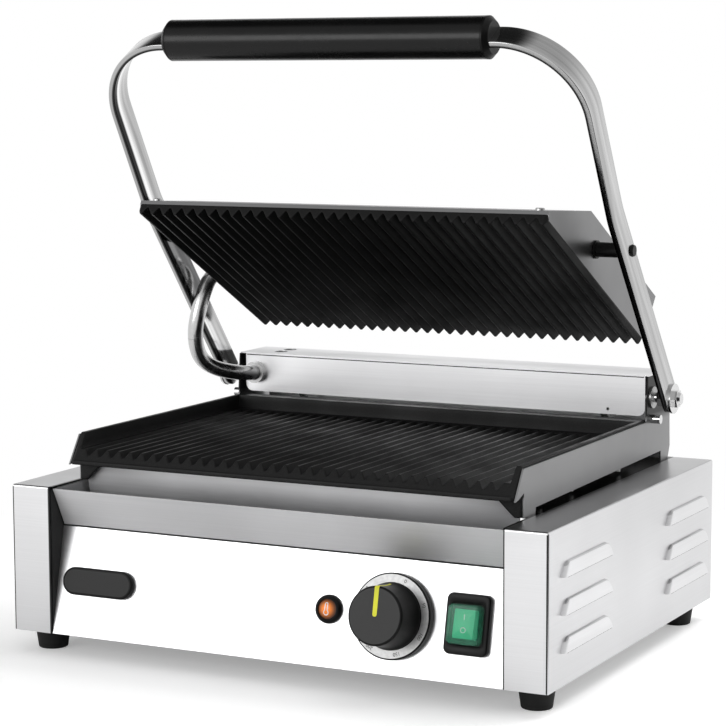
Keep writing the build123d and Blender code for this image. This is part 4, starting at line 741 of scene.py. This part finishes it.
def groove_height(across, count, top, depth, width, valley=0.45, crown=0.35):
    """Height over the ribs: a V rounded at its bottom by root(d^2 + valley^2), its lips by crown."""
    off = np.abs(across[:, None] - rib_middles(count)[None, :]).min(axis=1)
    flank = top - depth + 2 * depth / width * np.sqrt(off**2 + valley**2)
    return softer_low(flank, np.full_like(flank, top), crown)


rib_count, rib_top, rim_top, underside = 34, 151.0, 162.0, 139.5
rim_half, rim_rear, wall_half, wall_rear, wall_run = 179.0, 280.0, 174.0, 266.2, 0.77
slant_foot, slant_head = (24.6, 143.1), (38.7, rim_top)      # the lip's slope: how far back, how high
slant_blend, wall_blend, lip_blend = 1.2, 1.6, 0.5
rib_end, rib_fade, edge_ease, corner_radius, corner_end, corner_run = 262.0, 5.0, 1.0, 3.5, 40.0, 12.0

# Columns and rows lie close together where the height bends.
lower_edges = np.array([171, 172.3, 173.2, 173.8, 174.05, 174.25, 174.45, 174.65, 174.9, 175.3, 176, 177,
                        177.8, 178.3, 178.6, 178.8, 178.93, rim_half])
across = rib_columns(rib_count, lower_edges, 170.5)
ribs = groove_height(across, rib_count, rib_top, 6.0, 8.5)
rear_edges = np.array([266.3, 266.5, 266.7, 266.9, 267.2, 267.6, 268.3, 270, 276, 278.2, 278.8, 279.4,
                       279.8, rim_rear])
back = np.concatenate([np.arange(slant_foot[0], 31.6, 0.25), np.arange(31.8, 41, 0.6),
                       np.linspace(42, 256, 7), np.arange(257, wall_rear, 0.7), rear_edges])
run_out = np.clip((rib_end - back) / rib_fade, 0, 1)
run_out = (run_out * run_out * (3 - 2 * run_out))[:, None]
field = rib_top + (ribs[None, :] - rib_top) * run_out
side_wall = rib_top + np.clip((np.abs(across) - wall_half) / wall_run, -0.5, 1) * (rim_top - rib_top)
rear_wall = rib_top + np.clip((back - wall_rear) / wall_run, -0.5, 1) * (rim_top - rib_top)
walls = np.maximum(side_wall[None, :], rear_wall[:, None])
steepness = (slant_head[1] - slant_foot[1]) / (slant_head[0] - slant_foot[0])
slant = slant_foot[1] + (back - slant_foot[0]) * steepness
slant = softer_low(slant, np.full_like(slant, rim_top), slant_blend)[:, None]
up = softer_low(np.broadcast_to(slant, field.shape), softer_high(field, walls, wall_blend), lip_blend)
side_fall = rounding(np.abs(across) - rim_half + edge_ease, edge_ease)
rear_fall = rounding(back - rim_rear + edge_ease, edge_ease)
up = np.minimum(up, rim_top) - side_fall[None, :] - rear_fall[:, None]
lip_back = np.array([24.4, 23.85, 23.55, 23.5, 23.5, 23.6, 23.9, 24.3])
lip_up = np.array([underside, 139.65, 139.95, 140.4, 142.0, 142.45, 142.8, 143.0])
back = np.concatenate([lip_back, back])
up = np.concatenate([np.broadcast_to(lip_up[:, None], (len(lip_up), len(across))), up])
corner = rounding(np.abs(across) - rim_half + corner_radius, corner_radius)[None, :]
corner = corner * np.clip((corner_end - back) / corner_run, 0, 1)[:, None]
grid = np.empty(up.shape + (3,))
grid[..., 0] = across[None, :]
grid[..., 1] = back[:, None] + corner + front
grid[..., 2] = up
skirt = grid.copy()
skirt[..., 2] = underside
grid = np.concatenate([skirt[:, :1], grid, skirt[:, -1:]], axis=1)
grid = np.concatenate([grid, grid[-1:] * (1, 1, 0) + (0, 0, underside)], axis=0)
flat = grid.copy()
flat[..., 2] = underside
under = np.linspace(0, 1, 3)[:, None, None] * (flat[:1] - flat[-1:]) + flat[-1:]
lower_casting = skin("lower_casting", np.concatenate([grid, under[1:]]) / 1000, iron, crease=50)
lower_casting.data.flip_normals()
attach(lower_casting, "base")
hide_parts("lower_grill_plate")

# Lugs cast under its front corners: tapered blocks with eased edges.
lug_turn = np.array([(179.0, 139.6), (159.5, 139.6), (173.6, 126.3), (179.0, 126.3)])
lug_front, lug_rear = 36.9, 40.5
for side in (-1, 1):
    outline = lug_turn * (side, 1)
    lug = np.stack([np.column_stack([outline[:, 0], np.full(4, y + front), outline[:, 1]])
                    for y in (lug_front, lug_rear)])
    lug = skin(f"casting_lug_{hand(side)}", lug / 1000, iron, ring=True, capped=True)
    eased = lug.modifiers.new("eased", "BEVEL")
    eased.width, eased.segments = 0.0007, 3
    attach(lug, "base")
    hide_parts("lower_grill_plate")
# Painted shade on the cradle sides: above 166 mm, where they rise behind the rear box to the hinge, they are
# painted to 0.05 of their tone.
dress(brushed_steel("cradle_steel", 0.3, 0.34, painted_shade=("Z", 0.166, 0.159, 0.05)),
      "cradle_side_left", "cradle_side_right", "lower_heat_shield")
dress(zinc("element_sheath", 0.25, 0.45), "lower_element", "upper_element", "lower_element_clamps",
      "upper_element_clamps")

# ==========================================================
# Rear box, hinge and balance springs.  The box is a folded steel cover with its lid turned down over the
# front; the hinge shaft passes through it and the springs pull on cranks on the shaft.
# Painted light: the box's steel is a lighter copy of the stainless, 0.95, and its level faces are not
# painted darker.
dress(brushed_steel("box_steel", 0.95, 0.36, level_painted_shade=1.0), "rear_box")

# Painted shadow in the gap under the front of the box's lid.
dark_gap("box_lid_gap", (-175.6, 175.6), (front + 282.25, front + 282.7), (193.85, 194.55))


def chrome(name, colour, rough):
    """Polished plating: a mirror with faint polishing waves and finger marks in its gloss."""
    material, tree, place = begin(name, Metallic=1.0)
    marks = noise(tree, place, 160.0, 6.0)
    tone = spread(tree, marks, colour * 0.97, colour * 1.02)
    sheen = spread(tree, marks, rough * 0.7, rough * 1.8, 0.3, 0.8)
    return wear(material, tone, sheen, noise(tree, place, 30.0, 2.0), 0.03, 0.001)


dress(chrome("polished_chrome", 0.72, 0.07),
      "hinge_shaft", "hinge_inner_nuts", "hinge_washers", "hinge_cap_nuts", "stop_pins")
dress(bright_zinc, "spring_cranks", "balance_springs", "spring_anchors", "conduit_box_fitting",
      "conduit_cover_fitting")
dress(zinc("bronze", 0.4, 0.3), "hinge_bushings")


# ==========================================================
# Handle: one flat bar, bent edgewise at each arm and the easy way at the two top corners, then polished
# and plated.  Its ends turn on the hinge shaft.  The grip is a moulded tube between two end caps.
def arc_between(before, corner, after, radius, steps):
    """Points of the arc of that radius that touches both runs at a corner."""
    a, b = unit(before - corner), unit(after - corner)
    half = np.arccos(np.clip(a @ b, -1, 1)) / 2
    middle = corner + unit(a + b) * radius / np.sin(half)
    start, end = corner + a * radius / np.tan(half), corner + b * radius / np.tan(half)
    u, v = unit(start - middle), end - middle
    v = unit(v - (v @ u) * u)
    angle = np.linspace(0, pi - 2 * half, steps)[:, None]
    return middle + radius * (np.cos(angle) * u + np.sin(angle) * v)


hinge_point = np.array([194.5, 287.4 + front, 178.5])
kink_point = np.array([194.5, 168.5 + front, 325.7])
top_point = np.array([194.5, 95.6 + front, 451.5])
bar_half, bar_thin, bar_ease, end_narrow = 11.0, 2.5, 0.7, 0.6
kink_radius, kink_steps, top_radius, top_steps = 70.0, 9, 60.0, 40
along_arm = unit(kink_point - hinge_point)
end_steps = bar_half * np.array([-1.0, -0.985, -0.94, -0.86, -0.74, -0.58, -0.4, -0.2, 0.0])
arm = np.concatenate([
    hinge_point + along_arm * end_steps[:, None],
    arc_between(hinge_point, kink_point, top_point, kink_radius, kink_steps),
    arc_between(kink_point, top_point, top_point * (0, 1, 1), top_radius, top_steps),
])
bar_path = np.concatenate([arm, arm[::-1] * (-1, 1, 1)])
bar_way = unit(np.gradient(bar_path, axis=0))

# Across its width the bar lies in the arms' upright plane, and from the kinks up it keeps one slope.
count, ends, past_kink = len(arm), len(end_steps), len(end_steps) + kink_steps - 1
bar_wide = np.cross((1.0, 0.0, 0.0), bar_way)
bar_wide[past_kink:-past_kink] = unit(np.cross((1.0, 0.0, 0.0), top_point - kink_point))
bar_wide[count:] = np.abs(bar_wide[count:]) * np.sign(bar_wide[:count][::-1])
bar_wide = unit(bar_wide)
bar_thick = unit(np.cross(bar_wide, bar_way))
half = np.full(len(bar_path), bar_half)
half[:ends] = np.sqrt(np.maximum(bar_half**2 - end_steps**2, end_narrow**2))
half[-ends:] = half[:ends][::-1]
turn_steps = np.radians(np.array([0, 22, 45, 68, 90]))
quarter = np.stack([np.cos(turn_steps), np.sin(turn_steps)], axis=1)
ring_in = np.concatenate([quarter, quarter[::-1] * (-1, 1), quarter * (-1, -1), quarter[::-1] * (1, -1)])
ring_sign = np.repeat([(1, 1), (-1, 1), (-1, -1), (1, -1)], len(quarter), axis=0)
ease = np.minimum(bar_ease, half)[:, None]
wide_part = ring_sign[None, :, 0] * (half[:, None] - ease) + ring_in[None, :, 0] * ease
thin_part = ring_sign[None, :, 1] * (bar_thin - ease) + ring_in[None, :, 1] * ease
bar_grid = bar_path[:, None] + wide_part[..., None] * bar_wide[:, None]
bar_grid = bar_grid + thin_part[..., None] * bar_thick[:, None]


def bar_finish(name, low, high, rough):
    """Plating over a bar that was linished along its length: the tone changes in long bands across it.

    The attribute bar_run gives the place along the bar, across its width and through its thickness.
    On the inner faces a painted reflection: a dark band painted beside the front edge and a painted
    highlight next to it."""
    material = finish(name, Metallic=1.0)
    tree = material.node_tree
    run = tree.nodes.new("ShaderNodeAttribute")
    run.attribute_name = "bar_run"
    place = run.outputs["Vector"]
    course = put(tree, "ShaderNodeVectorMath", set_operation="MULTIPLY", in0=place, in1=(6.0, 160.0, 0.0))
    tone = spread(tree, noise(tree, course, 1.0, 2.0), low, high)
    forward = put(tree, "ShaderNodeSeparateXYZ", out="Y", Vector=place)
    inward = put(tree, "ShaderNodeSeparateXYZ", out="Z", Vector=place)
    # Painted reflection on the inner faces: a painted highlight up to 1.9 times the tone, and a dark band
    # painted beside the front edge.
    bright = spread(tree, forward, 1.0, 1.9, -0.001, 0.003)
    painted_dark_band = spread(tree, forward, 1.0, 0.04, 0.0058, 0.0072)
    inner = spread(tree, inward, 0.0, 1.0, 0.0, 0.001)
    band = between(tree, inner, 1.0, reckon(tree, "MULTIPLY", bright, painted_dark_band))
    tone = reckon(tree, "MULTIPLY", tone, band)
    fine = noise(tree, course, 6.0, 4.0)
    return wear(material, tone, spread(tree, fine, rough, rough + 0.05), fine, 0.01, 0.0001)


bar = skin("handle_bar", bar_grid / 1000, bar_finish("bar_face", 0.34, 0.62, 0.12),
           ring=True, capped=True, crease=60)
bar.data.materials.append(bar_finish("bar_edge", 0.3, 0.5, 0.1))
run_length = np.concatenate([[0], np.cumsum(np.linalg.norm(np.diff(bar_path, axis=0), axis=1))])
bar_run = np.zeros((len(bar.data.vertices), 3), np.float32)
bar_place = np.stack([np.broadcast_to(run_length[:, None], wide_part.shape), wide_part, thin_part], axis=-1)
bar_run[:wide_part.size] = bar_place.reshape(-1, 3) / 1000
bar.data.attributes.new("bar_run", "FLOAT_VECTOR", "POINT").data.foreach_set("vector", bar_run.ravel())
column = np.arange(len(bar.data.polygons)) % len(ring_in)
edge_columns = (8, 9, 10, 18, 19, 0)         # the columns on the bar's narrow edges
bar.data.polygons.foreach_set("material_index", np.isin(column, edge_columns).astype(np.int32))
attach(bar, "handle")
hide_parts("handle_frame")
dress(moulded("grip_plastic", grey(0.003), 0.24, gloss=0.26), "handle_grip")
dress(black_plastic, "grip_cap_left", "grip_cap_right", "pivot_bolts", "pivot_spacers", "pivot_washers")

# ==========================================================
# Lid: the upper casting, ribbed on its underside, hung on two pivot bolts between the arms, with its
# element, wool and a folded cover on top.
lid_tilt = radians(28.4)
pivot_y, pivot_z, pivot_along, pivot_above = 197.5 + front, 298.2, 93.5, 24.0


def in_lid(points):
    """Places points given as (x, back along the plate, above its rib tips).

    The plate leans back by a quarter turn and its tilt, so it slopes down to the rear."""
    return leaned(points - (0, pivot_along, pivot_above), pi / 2 + lid_tilt, pivot_y, pivot_z)


# The casting's ribs, its length and half width, and the heights of its back, grooves and side bands.
upper_count, upper_depth, upper_run, upper_half = 35, 6.1, 218.0, 168.2
upper_back, rib_floor, band_low, band_in = 8.4, 8.0, 4.8, 1.15
upper_corner, corner_from, corner_fade = 3.0, 30.0, 25.0
upper_edges = np.array([165.9, 166.4, 166.9, 167.3, 167.6, 167.85, 168.05, 168.15, upper_half])
across = rib_columns(upper_count, upper_edges, 165.6)
ribs = upper_depth - groove_height(across, upper_count, upper_depth, upper_depth, 8.4)
end_along, end_rise = np.array([0.0, 0.12, 0.4, 0.8]), np.array([0.8, 0.4, 0.1, 0.0])
along = np.concatenate([end_along, np.linspace(2, 216, 9), upper_run - end_along[::-1]])
eased = np.interp(np.minimum(along, upper_run - along), end_along, end_rise)
field = np.minimum(ribs[None, :] + eased[:, None], rib_floor)
rise = np.array([0.98, 0.9, 0.6, 0.3])[:, None]
front_along = np.array([20.0, 0.8, 0.25, 0.0, 0.0, 0.0, 0.0])
front_above = np.broadcast_to(np.array([upper_back, upper_back, 8.15])[:, None], (3, len(across)))
front_above = np.concatenate([front_above, field[:1] + (rib_floor - field[:1]) * rise])
along = np.concatenate([front_along, along, upper_run - front_along[::-1]])
above = np.concatenate([front_above, field, front_above[::-1]])
corner = rounding(np.abs(across) - upper_half + upper_corner, upper_corner)[None, :]
near_front = np.clip((corner_from - along) / corner_fade, 0, 1)
near_rear = np.clip((along - upper_run + corner_from) / corner_fade, 0, 1)
corner = corner * (near_front - near_rear)[:, None]
grid = np.stack([np.broadcast_to(across[None, :], above.shape), along[:, None] + corner, above], axis=-1)
band = grid[:, -1:].copy()
band[..., 2] = np.maximum(band[..., 2], band_low)
shoulder = band - (band_in, 0, 0)
top_edge = shoulder.copy()
top_edge[..., 2] = upper_back
right_side = np.concatenate([band, shoulder, top_edge], axis=1)
grid = np.concatenate([right_side[:, ::-1] * (-1, 1, 1), grid, right_side], axis=1)
# The lid's iron is the darker copy of the one enamel, 0.005 against the lower casting's 0.011: painted
# shade.
upper_casting = skin("upper_casting", in_lid(grid) / 1000, cast_iron("lid_iron", 0.005, 0.5), crease=50)
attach(upper_casting, "upper")
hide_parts("upper_grill_plate")
# Its level faces are painted to 0.9 of its tone: painted shade.
dress(brushed_steel("cover_steel", 0.26, 0.36, level_painted_shade=0.9), "upper_cover")
dress(bright_zinc, "pivot_brackets", "bracket_screws", "upper_cover_screws")
dress(moulded("mineral_wool", (0.7, 0.6, 0.4), 0.9, gloss=0.5), "upper_insulation")

# Conduit: a plated hose, stiff enough to hold its bend, from the rear box round the arm into the lid.
# It is held at both ends, and is made in a lower and an upper length.
conduit_radius = 6.2
route = [(-166, 282.4, 180), (-166, 262, 180), (-186, 228, 190), (-189.5, 219.5, 214), (-183.5, 221, 243),
         (-181, 236.2, 267.7), (-168.3, 236.2, 267.7)]
line = bpy.data.curves.new("conduit_line", "CURVE")
line.dimensions = "3D"
spline = line.splines.new("NURBS")
spline.points.add(len(route) - 1)
for point, (x, back, up) in zip(spline.points, route):
    point.co = (x / 1000, (back + front) / 1000, up / 1000, 1)
spline.order_u = 3
spline.use_endpoint_u = True
spline.resolution_u = 12
holder = bpy.data.objects.new("conduit_line", line)
smooth_line, line_points = points_of(holder)
line_points = line_points * 1000
bpy.data.objects.remove(holder)
bpy.data.meshes.remove(smooth_line)


def tube(name, points, radius, material):
    """A round tube along points: each ring lies across the line's own direction.

    Its first cross direction is carried along and kept square to the line, so the rings don't twist."""
    way = unit(np.gradient(points, axis=0))
    cross = np.empty_like(way)
    cross[0] = unit(np.cross(way[0], (0.3, 0.2, 0.93)))
    for i in range(1, len(way)):
        cross[i] = unit(cross[i - 1] - (cross[i - 1] @ way[i]) * way[i])
    other = np.cross(way, cross)
    angle = np.linspace(0, 2 * pi, 32, endpoint=False)[None, :, None]
    rings = points[:, None] + radius * (np.cos(angle) * cross[:, None] + np.sin(angle) * other[:, None])
    return skin(name, rings / 1000, material, ring=True, capped=True, crease=50)


hose_steel = chrome("hose_plating", 0.58, 0.2)

# The two lengths meet at the line's point nearest the middle.
hose_middle = np.array((-189.0, 222.0 + front, 214.0))
half_way = int(np.argmin(np.linalg.norm(line_points - hose_middle, axis=1)))
lower_hose = tube("conduit_lower", line_points[:half_way + 1], conduit_radius, hose_steel)
upper_hose = tube("conduit_upper", line_points[half_way:], conduit_radius, hose_steel)
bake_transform(lower_hose)
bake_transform(upper_hose)
for hose in (lower_hose, upper_hose):
    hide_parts("conduit")
